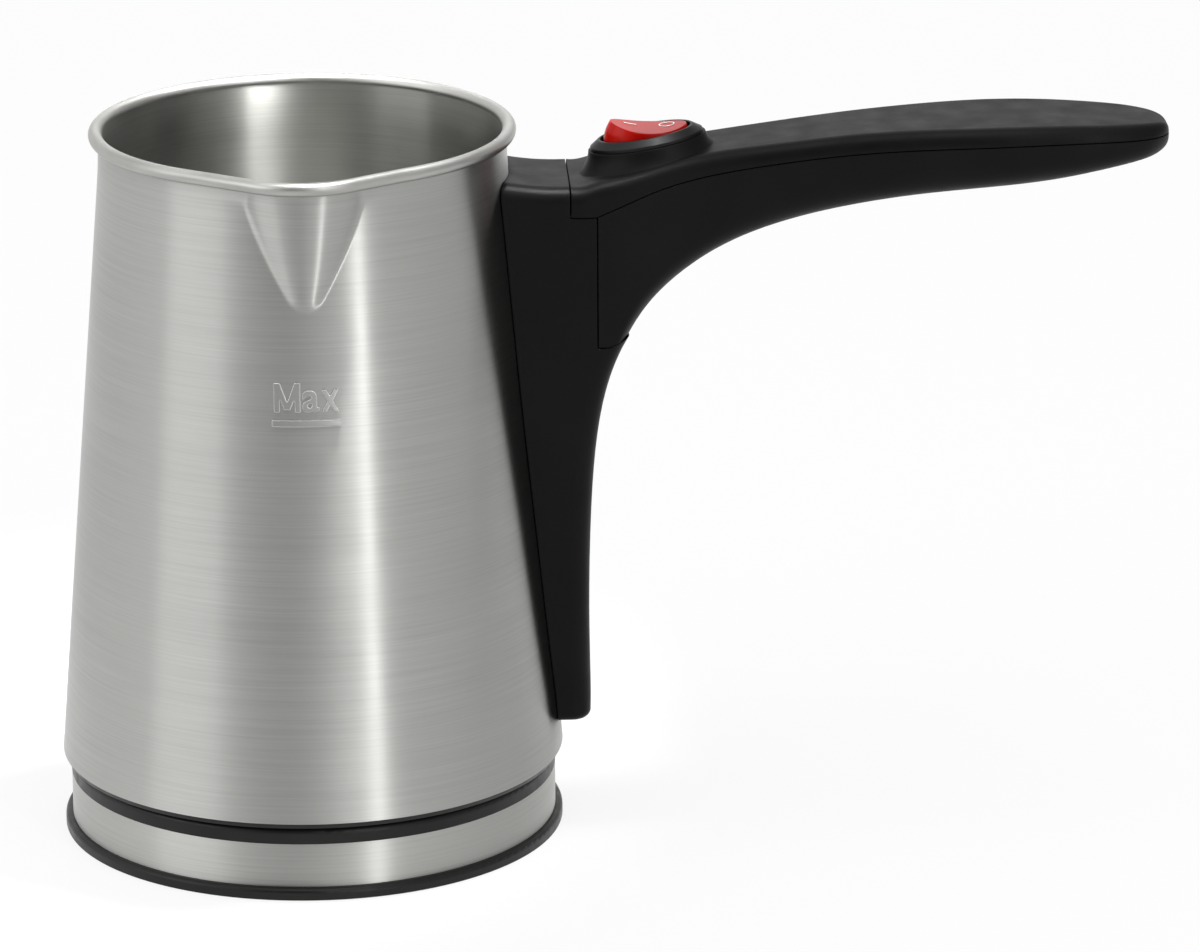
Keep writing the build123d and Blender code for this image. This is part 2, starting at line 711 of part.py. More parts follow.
# Centre pin of the pot, headed under the snap disc's pocket.
with BuildPart() as socket_pin:
    pin_tip = deck_height + contact_lift
    pin_head = plate_bottom - 2 * disc_thickness
    ring(pin_radius, 0, pin_tip, pin_head)
    tip_edge = socket_pin.edges().filter_by(GeomType.CIRCLE).sort_by(Axis.Z)[0]
    fillet(tip_edge, pin_radius / 2)
save(socket_pin.part, "socket_pin")

# Ring blade of the pot, set in the socket's ceiling.
with BuildPart() as socket_neutral_ring:
    ring(blade_radius + blade_thickness / 2, blade_radius - blade_thickness / 2,
         deck_height + contact_lift, blade_seat)
save(socket_neutral_ring.part, "socket_neutral_ring")

# Earth ring on the wall of the socket.
with BuildPart() as socket_earth_ring:
    ring(socket_recess - contact_seat, post_radius + earth_ring_gap,
         earth_seat, socket_ceiling)
save(socket_earth_ring.part, "socket_earth_ring")

# Snap disc that opens the circuit when the pot boils dry.
with BuildPart() as dry_boil_disc:
    ring(disc_radius, 0, plate_bottom - disc_thickness, plate_bottom)
save(dry_boil_disc.part, "dry_boil_disc")

# Thermal fuse lying under the plate, with its two end caps.
with BuildPart() as thermal_fuse:
    fuse_height = plate_bottom - fuse_cap_radius - braze_gap
    fuse_plane = Plane(origin=(fuse_circle, 0, fuse_height), z_dir=(0, 1, 0))
    with BuildSketch(fuse_plane.offset(-fuse_length / 2)):
        Circle(fuse_radius)
    extrude(amount=fuse_length)
    for cap_start in (-fuse_length / 2, fuse_length / 2 - fuse_cap_length):
        with BuildSketch(fuse_plane.offset(cap_start)):
            Circle(fuse_cap_radius)
        extrude(amount=fuse_cap_length)
save(thermal_fuse.part, "thermal_fuse")

# Moulded cover that closes the pot's underside: its edge is the black ring seen
# under the steel wall, and its posts reach the heater plate.
with BuildPart() as bottom_cover:
    lip_outer = wall_foot_radius - wall_thickness - weld_fit
    with BuildSketch(Plane.XZ):
        with BuildLine():
            Polyline((0, pot_bottom), (cover_edge_radius, pot_bottom),
                     (wall_foot_radius - weld_fit, wall_foot), (0, wall_foot),
                     close=True)
        make_face()
    revolve(axis=Axis.Z)
    ring(lip_outer - shell_wall, 0, wall_foot, cover_top)
    with BuildSketch(Plane.XZ):
        with BuildLine():
            lip_lean = wall_radius(wall_foot) - wall_radius(wall_foot + cover_lip_height)
            Polyline((lip_outer, wall_foot),
                     (lip_outer - lip_lean, wall_foot + cover_lip_height),
                     (lip_outer - cover_lip_width - lip_lean, wall_foot + cover_lip_height),
                     (lip_outer - cover_lip_width - lip_lean, wall_foot), close=True)
        make_face()
    revolve(axis=Axis.Z)
    ring(socket_radius + base_fit, 0, pot_bottom, cover_top, Mode.SUBTRACT)
    cover_well = pot_bottom + screw_head_height + head_fit
    with PolarLocations(cover_screw_circle, cover_screw_count, start_angle=90):
        with Locations((0, 0, cover_top)):
            Cylinder(cover_post_radius + well_wall, cover_well + well_wall - cover_top,
                     align=(Align.CENTER, Align.CENTER, Align.MIN))
            Cylinder(cover_post_radius, plate_bottom - cover_top,
                     align=(Align.CENTER, Align.CENTER, Align.MIN))
        with Locations((0, 0, pot_bottom)):
            Cylinder(screw_head + head_fit, cover_well - pot_bottom, mode=Mode.SUBTRACT,
                     align=(Align.CENTER, Align.CENTER, Align.MIN))
            Cylinder(screw_shank + screw_fit, plate_bottom - pot_bottom,
                     mode=Mode.SUBTRACT, align=(Align.CENTER, Align.CENTER, Align.MIN))
save(bottom_cover.part, "bottom_cover")

# Screws from below through the cover's posts into the heater plate.
with BuildPart() as bottom_cover_screws:
    with PolarLocations(cover_screw_circle, cover_screw_count, start_angle=90):
        with Locations((0, 0, cover_well)):
            Cylinder(screw_head, screw_head_height,
                     align=(Align.CENTER, Align.CENTER, Align.MAX))
            Cylinder(screw_shank, plate_bottom + plate_thickness / 3 - cover_well,
                     align=(Align.CENTER, Align.CENTER, Align.MIN))
save(bottom_cover_screws.part, "bottom_cover_screws")


# ==== Handle ====


def side_region(points_line, low, high):
    """Slab of the side view between two Y planes, for cutting the mouldings."""
    with BuildPart() as slab:
        with BuildSketch(Plane.XZ.offset(-high)):
            make_face(points_line)
        extrude(amount=high - low)
    return slab.part


def grip_form(inset, last):
    """Grip through its first sections: inset 0 outside, the wall inside."""
    with BuildPart() as form:
        for share, half_width, top_rise, under_rise in grip_sections[:last]:
            top = column_top + top_rise
            under = column_top + under_rise
            height = top - under - 2 * inset
            width = half_width - inset
            upper = max(min(grip_top_round, 0.4 * (top - under), half_width / 2) - inset, 0.5)
            lower = max(min(grip_under_round, 0.5 * (top - under), 0.8 * half_width) - inset,
                        0.8)
            low = under + inset
            high = low + height
            with BuildSketch(Plane.YZ.offset(cover_root + share * grip_length + inset / 4)):
                with BuildLine():
                    Line((upper - width, high), (width - upper, high))
                    RadiusArc((width - upper, high), (width, high - upper), upper)
                    Line((width, high - upper), (width, low + lower))
                    RadiusArc((width, low + lower), (width - lower, low), lower)
                    Line((width - lower, low), (lower - width, low))
                    RadiusArc((lower - width, low), (-width, low + lower), lower)
                    Line((-width, low + lower), (-width, high - upper))
                    RadiusArc((-width, high - upper), (upper - width, high), upper)
                make_face()
        loft()
    return form.part


def column_form(inset):
    """Column with its slim foot: inset 0 outside, the wall inside."""
    back = neck_radius - column_back
    with BuildPart() as form:
        for share, half_width, stand_off in column_sections:
            height = column_bottom + share * (joint_height - column_bottom)
            width = half_width - inset
            front = wall_radius(height) + stand_off - inset
            corner = column_round - inset
            with BuildSketch(Plane.XY.offset(height)):
                with BuildLine():
                    Polyline((front - corner, -width), (back, -width), (back, width),
                             (front - corner, width))
                    RadiusArc((front - corner, width), (front, width - corner), corner)
                    Line((front, width - corner), (front, corner - width))
                    RadiusArc((front, corner - width), (front - corner, -width), corner)
                make_face()
        loft()
    return form.part


def column_head(inset):
    """Head of the column, over the joint, with its top curved up to the pot."""
    with BuildPart() as form:
        for distance, rise in column_crown:
            width = column_half_width - inset
            high = column_top + rise - inset
            corner = column_top_round - inset
            with BuildSketch(Plane.YZ.offset(neck_radius + distance)):
                with BuildLine():
                    Line((corner - width, high), (width - corner, high))
                    RadiusArc((width - corner, high), (width, high - corner), corner)
                    Polyline((width, high - corner), (width, joint_height),
                             (-width, joint_height), (-width, high - corner))
                    RadiusArc((-width, high - corner), (corner - width, high), corner)
                make_face()
        loft()
    return form.part


stub_width = 2 * (column_half_width - handle_wall)
grip_outer = grip_form(0, len(grip_sections))
grip_core = grip_form(handle_wall / 2, hollow_section_count)
grip_hollow = grip_form(handle_wall, hollow_section_count)

# Side views of the seams. The upper cover lies above the first line, and the
# lower shell lies between it and the second.
seam_line = [(cover_root + share * grip_length, seam_step + rise)
             for share, rise in seam_points]
grip_end = cover_root + 1.05 * grip_length
above_all = column_top + max(section[2] for section in grip_sections) + 4 * handle_wall


def cover_zone(gap):
    """Everything above the seam of the upper cover, from its root to the tip."""
    with BuildLine() as edge:
        Polyline((seam_line[-1][0], seam_line[-1][1] - gap), (grip_end, above_all),
                 (cover_root - gap, above_all), (cover_root - gap, seam_step - gap),
                 (seam_line[0][0], seam_step - gap))
        Spline([(x, z - gap) for x, z in seam_line])
    return side_region(edge.line, -2 * column_half_width, 2 * column_half_width)


def lower_zone(gap):
    """The lower shell's own room: outside the column's face, over the lower seam."""
    with BuildLine() as edge:
        Polyline((column_face - gap, lower_seam_rise - gap),
                 (lower_seam_bend - gap, lower_seam_rise - gap),
                 (cover_root + grip_sections[3][0] * grip_length, lower_seam_end + 1 - gap),
                 (grip_end, lower_seam_end + 1 - gap), (grip_end, above_all),
                 (column_face - gap, above_all), close=True)
    return side_region(edge.line, -2 * column_half_width, 2 * column_half_width)


def pot_clearance(gap):
    """The steel wall's outside with a gap, for parts that lie against it."""
    with BuildPart() as form:
        with BuildSketch(Plane.XZ):
            with BuildLine():
                Polyline((0, 0), (wall_radius(0) + gap, 0), (neck_radius + gap, neck_height),
                         (neck_radius + gap, rim_height), (0, rim_height), close=True)
            make_face()
        revolve(axis=Axis.Z)
    return form.part


def bracket_form(margin, rise):
    """Upright prism from inside the wall to the bracket's face, grown by a margin."""
    low = bracket_bottom - rise
    high = bracket_top + rise
    reach = bracket_depth + margin
    half_width = bracket_half_width + margin
    inner_face = neck_radius - column_back
    with BuildPart() as form:
        with BuildSketch(Plane.XZ.offset(-half_width)):
            with BuildLine():
                Polyline((inner_face, low), (wall_radius(low) + reach, low),
                         (wall_radius(high) + reach, high), (inner_face, high),
                         close=True)
            make_face()
        extrude(amount=2 * half_width)
    return form.part


# Steel channel welded upright on the wall: the handle is screwed to it.
with BuildPart() as handle_bracket:
    add(bracket_form(0, 0))
    add(bracket_form(-bracket_thickness, bracket_thickness), mode=Mode.SUBTRACT)
    add(pot_clearance(weld_fit), mode=Mode.SUBTRACT)
    for height in handle_screw_heights:
        with BuildSketch(Plane.YZ.offset(neck_radius)):
            with Locations((0, height)):
                Circle(handle_screw_radius + screw_fit)
        extrude(amount=column_face - neck_radius, mode=Mode.SUBTRACT)
save(handle_bracket.part, "handle_bracket")

# Column that stands against the pot: a hollow moulding, open towards the wall.
with BuildPart() as handle_column:
    add(column_form(0))
    fillet(handle_column.edges().group_by(Axis.Z)[0].filter_by(lambda edge: (edge @ 0.5).X
           > neck_radius - column_back + 1), column_bottom_round)
    add(column_head(0))
    hollow = column_form(handle_wall)
    with BuildPart(mode=Mode.PRIVATE) as inner_room:
        add(hollow)
        with BuildSketch(Plane.XY.offset(column_bottom - 1)):
            Rectangle(4 * column_face, 4 * column_half_width)
        extrude(amount=handle_wall + 1, mode=Mode.SUBTRACT)
        room_face = column_face - handle_wall
        room_back = neck_radius - column_back
        with BuildPart(mode=Mode.PRIVATE) as head_room:
            with BuildSketch(Plane.XZ.offset(-stub_width / 2)):
                with BuildLine():
                    Polyline((room_back, joint_height), (room_face, joint_height),
                             (room_face, seam_step - handle_wall),
                             (cover_root - handle_wall, seam_step - handle_wall),
                             (cover_root - handle_wall, column_top - handle_wall),
                             (room_back, column_top - handle_wall), close=True)
                make_face()
            extrude(amount=stub_width)
        add(head_room.part)
    add(inner_room.part, mode=Mode.SUBTRACT)
    for height in handle_screw_heights:
        with BuildSketch(Plane.YZ.offset(neck_radius)):
            with Locations((0, height)):
                Circle(handle_screw_radius + boss_wall)
        extrude(amount=column_face - neck_radius)
    add(bracket_form(weld_fit, 2 * boss_wall), mode=Mode.SUBTRACT)
    add(cover_zone(handle_seam), mode=Mode.SUBTRACT)
    add(lower_zone(handle_seam), mode=Mode.SUBTRACT)
    add(pot_clearance(column_wall_fit), mode=Mode.SUBTRACT)
    with BuildSketch(Plane.YZ.offset(neck_radius)):
        for height in handle_screw_heights:
            with Locations((0, height)):
                Circle(handle_screw_radius + screw_fit)
        with Locations((0, window_height)):
            Rectangle(2 * window_half_width, 2 * window_half_height)
    extrude(amount=2 * (column_face - neck_radius), mode=Mode.SUBTRACT)
save(handle_column.part, "handle_column")


def limited(form, zone):
    """The part of a form that lies inside a zone."""
    with BuildPart() as piece:
        add(form)
        add(zone, mode=Mode.INTERSECT)
    return piece.part


def grip_underside(position):
    """Height of the grip's underside at a distance along X."""
    share = (position - cover_root) / grip_length
    for near, far in zip(grip_sections, grip_sections[1:]):
        if near[0] <= share <= far[0]:
            step = (share - near[0]) / (far[0] - near[0])
            return column_top + near[3] + step * (far[3] - near[3])
    return column_top + grip_sections[-1][3]


# Lower shell of the grip, screwed to the column through its end wall.
with BuildPart() as handle_lower_shell:
    add(limited(grip_outer, lower_zone(0)))
    add(limited(grip_hollow, lower_zone(-end_wall)), mode=Mode.SUBTRACT)
    with BuildSketch(Plane.YZ.offset(column_face)):
        with Locations((0, bracket_top + above_all / 2)):
            Rectangle(stub_width, above_all)
    extrude(amount=end_wall, mode=Mode.SUBTRACT)
    for position in grip_screw_positions:
        under = grip_underside(position)
        head_top = under + grip_screw_sink + grip_screw_head_height
        with Locations((position, 0, under + handle_wall / 2)):
            Cylinder(grip_post_radius + well_wall, head_top + grip_screw_ledge - under
                     - handle_wall / 2, align=(Align.CENTER, Align.CENTER, Align.MIN))
        with Locations((position, 0, head_top)):
            Cylinder(grip_screw_head + head_fit, 4 * grip_screw_head_height,
                     mode=Mode.SUBTRACT, align=(Align.CENTER, Align.CENTER, Align.MAX))
            Cylinder(grip_screw_radius + screw_fit, 2 * grip_screw_ledge,
                     mode=Mode.SUBTRACT, align=(Align.CENTER, Align.CENTER, Align.MIN))
    add(cover_zone(handle_seam), mode=Mode.SUBTRACT)
    with BuildSketch(Plane.YZ.offset(column_face)):
        for height in handle_screw_heights:
            with Locations((0, height)):
                Circle(handle_screw_radius + screw_fit)
    extrude(amount=end_wall, mode=Mode.SUBTRACT)
save(handle_lower_shell.part, "handle_lower_shell")

# Two screws from inside the grip through the column into the bracket.
with BuildPart() as handle_screws:
    for height in handle_screw_heights:
        head_seat = column_face + end_wall
        shank_end = wall_radius(height) + bracket_depth - 2 * bracket_thickness
        with BuildSketch(Plane.YZ.offset(head_seat)):
            with Locations((0, height)):
                Circle(handle_screw_head)
        extrude(amount=handle_screw_head_height)
        with BuildSketch(Plane.YZ.offset(shank_end)):
            with Locations((0, height)):
                Circle(handle_screw_radius)
        extrude(amount=head_seat - shank_end)
save(handle_screws.part, "handle_screws")


# ==== Rocker switch ====

tilt = math.radians(switch_tilt)
switch_frame = Plane(origin=(switch_x, 0, switch_z),
                     x_dir=(math.cos(tilt), 0, math.sin(tilt)),
                     z_dir=(-math.sin(tilt), 0, math.cos(tilt)))
well_bottom = body_floor - body_depth
pivot_frame = switch_frame.offset(-pivot_depth)
lever_frame = pivot_frame.offset(-lever_pivot_drop)
rocker_frame = pivot_frame.rotated((0, rocker_half_throw, 0))
lever_rest = lever_frame.rotated((0, -lever_half_throw, 0))


def side_plane(frame):
    """Side view of a switch frame: x along the frame, y up, facing -Y."""
    return Plane(origin=frame.origin, x_dir=frame.x_dir, z_dir=(0, -1, 0))


def oval(frame, height, half_length, half_width, depth, mode=Mode.ADD):
    """Oval prism along a switch frame's own axis, from a height upwards."""
    with BuildSketch(frame.offset(height)) as section:
        Ellipse(half_length, half_width)
    extrude(section.sketch, amount=depth, mode=mode)


def cross_pin(frame, radius, near, far, mode=Mode.ADD):
    """Two pins on one line across the switch, one on each side."""
    for way in (-1, 1):
        plane = Plane(origin=frame.origin, x_dir=frame.x_dir, z_dir=(0, way, 0))
        with BuildSketch(plane.offset(near)) as section:
            Circle(radius)
        extrude(section.sketch, amount=far - near, mode=mode)


# Upper cover of the grip, with the boss for the switch and two screw posts.
with BuildPart() as handle_upper_cover:
    add(limited(grip_outer, cover_zone(0)))
    with BuildPart(mode=Mode.PRIVATE) as switch_boss:
        for depth, spread in boss_sections:
            with BuildSketch(switch_frame.offset(-depth)):
                Ellipse(bezel_half_length + boss_margin + spread,
                        bezel_half_width + boss_margin + spread)
        loft()
    add(switch_boss.part)
    with BuildPart(mode=Mode.PRIVATE) as cover_room:
        add(grip_hollow)
        with BuildSketch(Plane.YZ.offset(cover_root + handle_wall)):
            with Locations((0, above_all / 2)):
                Rectangle(4 * column_half_width, 2 * above_all)
        extrude(amount=-2 * handle_wall, mode=Mode.SUBTRACT)
    add(cover_room.part, mode=Mode.SUBTRACT)
    for position in grip_screw_positions:
        ledge_top = (grip_underside(position) + grip_screw_sink + grip_screw_head_height
                     + grip_screw_ledge)
        screw_end = ledge_top - grip_screw_ledge + grip_screw_bite
        with BuildPart(mode=Mode.PRIVATE) as screw_post:
            with Locations((position, 0, ledge_top)):
                Cylinder(grip_post_radius, 10 * handle_wall,
                         align=(Align.CENTER, Align.CENTER, Align.MIN))
            add(grip_core, mode=Mode.INTERSECT)
        add(screw_post.part)
        with Locations((position, 0, ledge_top)):
            Cylinder(grip_screw_radius + screw_fit, screw_end - ledge_top + screw_fit,
                     mode=Mode.SUBTRACT, align=(Align.CENTER, Align.CENTER, Align.MIN))
    oval(switch_frame, -body_depth - body_fit, body_half_length + body_fit,
         body_half_width + body_fit, 2 * body_depth, Mode.SUBTRACT)
save(handle_upper_cover.part, "handle_upper_cover")

# Screws from the underside of the grip into the cover's posts.
with BuildPart() as grip_screws:
    for position in grip_screw_positions:
        head_top = grip_underside(position) + grip_screw_sink + grip_screw_head_height
        with Locations((position, 0, head_top)):
            Cylinder(grip_screw_head, grip_screw_head_height,
                     align=(Align.CENTER, Align.CENTER, Align.MAX))
            Cylinder(grip_screw_radius, grip_screw_bite,
                     align=(Align.CENTER, Align.CENTER, Align.MIN))
save(grip_screws.part, "grip_screws")

# Switch body and bezel in one moulding, with the well for the rocker and slots
# for the terminals.
with BuildPart() as switch_housing:
    oval(switch_frame, -body_depth, body_half_length, body_half_width, body_depth)
    oval(switch_frame, 0, bezel_half_length, bezel_half_width, bezel_side)
    with BuildSketch(switch_frame.offset(bezel_side)) as slope_foot:
        Ellipse(bezel_half_length, bezel_half_width)
    with BuildSketch(switch_frame.offset(bezel_side + bezel_rise)) as slope_top:
        Ellipse(well_half_length + bezel_lip, well_half_width + bezel_lip)
    loft([slope_foot.sketch, slope_top.sketch], ruled=True)
    with BuildSketch(switch_frame.offset(-ear_depth)) as ears:
        Rectangle(2 * ear_half_length, 2 * (body_half_width + ear_width))
    extrude(ears.sketch, amount=-ear_height)
    oval(switch_frame, well_bottom, well_half_length, well_half_width, 2 * body_depth,
         Mode.SUBTRACT)
    cross_pin(pivot_frame, trunnion_radius + trunnion_fit, rocker_half_width,
              well_half_width + trunnion_length, Mode.SUBTRACT)
    cross_pin(lever_frame, lever_pin_radius + trunnion_fit, rocker_half_width,
              well_half_width + trunnion_length, Mode.SUBTRACT)
    with BuildSketch(switch_frame.offset(-body_depth)) as tab_slots:
        with GridLocations(terminal_spacing, 0, 3, 1):
            Rectangle(terminal_thickness + 2 * contact_seat,
                      terminal_width + 2 * contact_seat)
    extrude(tab_slots.sketch, amount=body_floor, mode=Mode.SUBTRACT)
save(switch_housing.part, "switch_housing")

# Three terminals: lamp tab, lever tab and contact tab.
with BuildPart() as switch_terminals:
    with BuildSketch(switch_frame.offset(-body_depth - terminal_drop)) as tabs:
        with GridLocations(terminal_spacing, 0, 3, 1):
            Rectangle(terminal_thickness, terminal_width)
    extrude(tabs.sketch, amount=terminal_drop + body_floor + terminal_rise)
save(switch_terminals.part, "switch_terminals")

plunger_drop = lever_pivot_drop - lever_pin_radius - lever_clear
plunger_top = plunger_length - plunger_drop
bore_top = rocker_mid_rise / 3

# Clear red rocker: a short barrel on two trunnions with a dished top, bored
# from below for the lamp and the plunger.
with BuildPart() as switch_rocker:
    with BuildSketch(Plane(origin=rocker_frame.origin, x_dir=rocker_frame.x_dir,
                           z_dir=rocker_frame.z_dir)) as barrel:
        Ellipse(rocker_radius, rocker_half_width)
        Rectangle(2 * rocker_radius, 4 * rocker_half_width, mode=Mode.SUBTRACT,
                  align=(Align.MAX, Align.CENTER))
    revolve(barrel.sketch, axis=Axis(rocker_frame.origin, (0, 1, 0)))
    with BuildSketch(side_plane(rocker_frame)) as profile:
        with BuildLine():
            Polyline((rocker_radius, rocker_end_rise), (rocker_radius, -rocker_drop),
                     (-rocker_radius, -rocker_drop), (-rocker_radius, rocker_end_rise))
            ThreePointArc((-rocker_radius, rocker_end_rise), (0, rocker_mid_rise),
                          (rocker_radius, rocker_end_rise))
        make_face()
    extrude(profile.sketch, amount=rocker_half_width, both=True, mode=Mode.INTERSECT)
    cross_pin(rocker_frame, trunnion_radius, rocker_half_width / 2,
              well_half_width + trunnion_length - lever_clear)
    for shift, radius in ((0, plunger_radius + plunger_fit),
                          (-lamp_offset, lamp_radius + lamp_fit)):
        with BuildSketch(rocker_frame.offset(-rocker_drop)) as bore:
            with Locations((shift, 0)):
                Circle(radius)
        extrude(bore.sketch, amount=rocker_drop + bore_top, mode=Mode.SUBTRACT)
save(switch_rocker.part, "switch_rocker")

# Small glow lamp in the pot end of the rocker.
with BuildPart() as switch_lamp:
    with BuildSketch(rocker_frame.offset(bore_top - lamp_fit - lamp_length)) as glass:
        with Locations((-lamp_offset, 0)):
            Circle(lamp_radius)
    extrude(glass.sketch, amount=lamp_length)
    fillet(switch_lamp.edges().filter_by(GeomType.CIRCLE).sort_by(Axis.Z)[-1],
           lamp_radius / 2)
save(switch_lamp.part, "switch_lamp")

# Sprung plunger that tips the contact lever over.
with BuildPart() as switch_plunger:
    with BuildSketch(rocker_frame.offset(-plunger_drop)) as plunger_end:
        Circle(plunger_radius)
    extrude(plunger_end.sketch, amount=plunger_length)
    fillet(switch_plunger.edges().filter_by(GeomType.CIRCLE).sort_by(Axis.Z)[0],
           0.8 * plunger_radius)
save(switch_plunger.part, "switch_plunger")

# Coil spring over the plunger.
with BuildPart() as switch_spring:
    spring_height = bore_top - plunger_top - 2 * spring_wire - 2 * plunger_fit
    with BuildLine(rocker_frame.offset(plunger_top + spring_wire + plunger_fit)) as coil:
        Helix(spring_pitch, spring_height, spring_radius)
    with BuildSketch(Plane(origin=coil.line @ 0, z_dir=coil.line % 0)) as coil_end:
        Circle(spring_wire)
    sweep(coil_end.sketch, path=coil.line, is_frenet=True)
save(switch_spring.part, "switch_spring")

# Contact lever on its cross pin under the plunger.
with BuildPart() as contact_lever:
    with BuildSketch(lever_rest.offset(-lever_thickness / 2)) as blade:
        SlotOverall(2 * lever_half_length, 2 * lever_half_width)
    extrude(blade.sketch, amount=lever_thickness)
    cross_pin(lever_rest, lever_pin_radius, 0,
              well_half_width + trunnion_length - lever_clear)
save(contact_lever.part, "contact_lever")


# ==== Wires from the control to the switch ====

wall_at_hole = wall_radius(wire_hole_height)
grommet_bore = wire_hole_radius - contact_seat - grommet_wall
flange_lean = wall_radius(wire_hole_height - grommet_flange) - wall_at_hole
inner_flange = wall_at_hole - wall_thickness - flange_lean - grommet_seat
outer_flange = wall_at_hole + flange_lean

# Rubber grommet in the wall's hole, with a flange on each side.
with BuildPart() as wire_grommet:
    for start, radius, length in (
            (inner_flange - grommet_flange_thickness, grommet_flange,
             grommet_flange_thickness),
            (inner_flange, wire_hole_radius - contact_seat, outer_flange - inner_flange),
            (outer_flange, grommet_flange, grommet_flange_thickness)):
        with BuildSketch(Plane.YZ.offset(start)):
            with Locations((0, wire_hole_height)):
                Circle(radius)
                Circle(grommet_bore, mode=Mode.SUBTRACT)
        extrude(amount=length)
save(wire_grommet.part, "wire_grommet")


def switch_point(along, above):
    """X and Z of a point given along and above the switch frame."""
    return (switch_x + along * math.cos(tilt) - above * math.sin(tilt),
            switch_z + along * math.sin(tilt) + above * math.cos(tilt))


def wire(side, hole_side, hole_rise, inward, outward, channel, ending):
    """Round wire from the control, through the wall's hole, up to the switch."""
    hole_height = wire_hole_height + hole_rise
    out = wall_radius(bracket_bottom) + wire_stand_off + outward
    points = [
        (socket_radius + wire_radius, side, wire_level),
        (plate_radius - 3.5 * wire_radius - inward, side, wire_level),
        (plate_radius + 2.5 * wire_radius - inward / 2, hole_side, hole_height),
        (out, hole_side, hole_height),
    ]
    for height, channel_side in channel:
        points.append((wall_radius(height) + wire_stand_off, channel_side, height))
    with BuildPart() as run:
        with BuildLine() as path:
            FilletPolyline(*points, *ending, radius=wire_bend)
        with BuildSketch(Plane(origin=path.line @ 0, z_dir=path.line % 0)) as section:
            Circle(wire_radius)
        sweep(section.sketch, path=path.line)
    return run.part


channel_low = bracket_bottom - bracket_thickness
level = window_height
hole_spread = wire_radius + wire_end_fit / 2
tab_side = terminal_width / 2 + wire_end_fit
tab_middle = -body_depth - terminal_drop / 2
contact_x, contact_z = switch_point(terminal_spacing, tab_middle)
lever_x, lever_z = switch_point(0, tab_middle)
lamp_x, lamp_z = switch_point(-terminal_spacing, tab_middle)
rise_start = lamp_x - 4 * wire_radius

# Feed wire to the contact tab.
feed_run = wire(-wire_spread, -hole_spread, -wire_radius / 2, 0, wire_outward,
                [(channel_low, -wire_spread), (level, -wire_spread)],
                [(rise_start, -wire_spread, level),
                 (contact_x - 4 * wire_radius, -wire_spread, contact_z),
                 (contact_x, -wire_spread, contact_z),
                 (contact_x, -tab_side, contact_z)])
save(feed_run, "feed_wire")

# Return wire to the lever tab.
return_run = wire(wire_spread, hole_spread, -wire_radius / 2, 0, wire_outward,
                  [(channel_low, wire_spread), (level, wire_spread)],
                  [(rise_start, wire_spread, level),
                   (lever_x - 4 * wire_radius, wire_spread, lever_z),
                   (lever_x, wire_spread, lever_z),
                   (lever_x, tab_side, lever_z)])
save(return_run, "return_wire")

# Lamp wire to the lamp tab.
lamp_end = lamp_x - terminal_thickness - wire_end_fit
lamp_run = wire(0, 0, wire_radius + wire_end_fit, lamp_wire_inward, lamp_wire_outward,
                [(lamp_wire_turn, 0), (lamp_wire_turn + lamp_wire_step, lamp_wire_side),
                 (level, lamp_wire_side)],
                [(lamp_end - 6 * wire_radius, lamp_wire_side, level),
                 (lamp_end - 3 * wire_radius, wire_radius, lamp_z),
                 (lamp_end, wire_radius, lamp_z)])
save(lamp_run, "lamp_wire")
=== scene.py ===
import math

import bpy
import numpy as np
from mathutils import Matrix, Vector


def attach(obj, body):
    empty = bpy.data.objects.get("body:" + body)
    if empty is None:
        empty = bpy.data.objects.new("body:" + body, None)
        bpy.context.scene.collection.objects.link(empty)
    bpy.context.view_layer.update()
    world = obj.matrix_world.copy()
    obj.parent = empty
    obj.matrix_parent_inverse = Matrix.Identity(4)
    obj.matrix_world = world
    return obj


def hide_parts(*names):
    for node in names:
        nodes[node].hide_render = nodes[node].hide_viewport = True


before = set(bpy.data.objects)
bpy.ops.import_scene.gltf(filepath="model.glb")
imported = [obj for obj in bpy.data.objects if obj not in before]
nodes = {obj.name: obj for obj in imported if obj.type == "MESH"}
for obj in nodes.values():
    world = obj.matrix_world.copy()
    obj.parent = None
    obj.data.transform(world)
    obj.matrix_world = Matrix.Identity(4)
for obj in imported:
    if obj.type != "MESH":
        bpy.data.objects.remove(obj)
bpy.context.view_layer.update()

# ---- Rubber feet ----
# Three soft rubber pads pushed into pockets under the base. Moulded, so their
# skin is matt with a very fine texture.
MM = 0.001


def finish(name, colour, roughness, metallic=0.0):
    """New material with its plain values set on the shader."""
    material = bpy.data.materials.new(name)
    material.use_nodes = True
    shader = material.node_tree.nodes["Principled BSDF"]
    shader.inputs["Base Color"].default_value = (*colour, 1)
    shader.inputs["Roughness"].default_value = roughness
    shader.inputs["Metallic"].default_value = metallic
    return material


def settle(material, **values):
    """Set more of the shader's plain values, by name."""
    shader = material.node_tree.nodes["Principled BSDF"]
    for name, value in values.items():
        shader.inputs[name.replace("_", " ")].default_value = value


def grain(material, cells, detail=2.0):
    """Noise over the piece, with its cells per metre along x, y and z."""
    tree = material.node_tree
    place = tree.nodes.new("ShaderNodeTexCoord")
    mapping = tree.nodes.new("ShaderNodeMapping")
    mapping.inputs["Scale"].default_value = cells
    texture = tree.nodes.new("ShaderNodeTexNoise")
    texture.inputs["Scale"].default_value = 1.0
    texture.inputs["Detail"].default_value = detail
    tree.links.new(place.outputs["Object"], mapping.inputs["Vector"])
    tree.links.new(mapping.outputs["Vector"], texture.inputs["Vector"])
    return texture.outputs["Fac"]


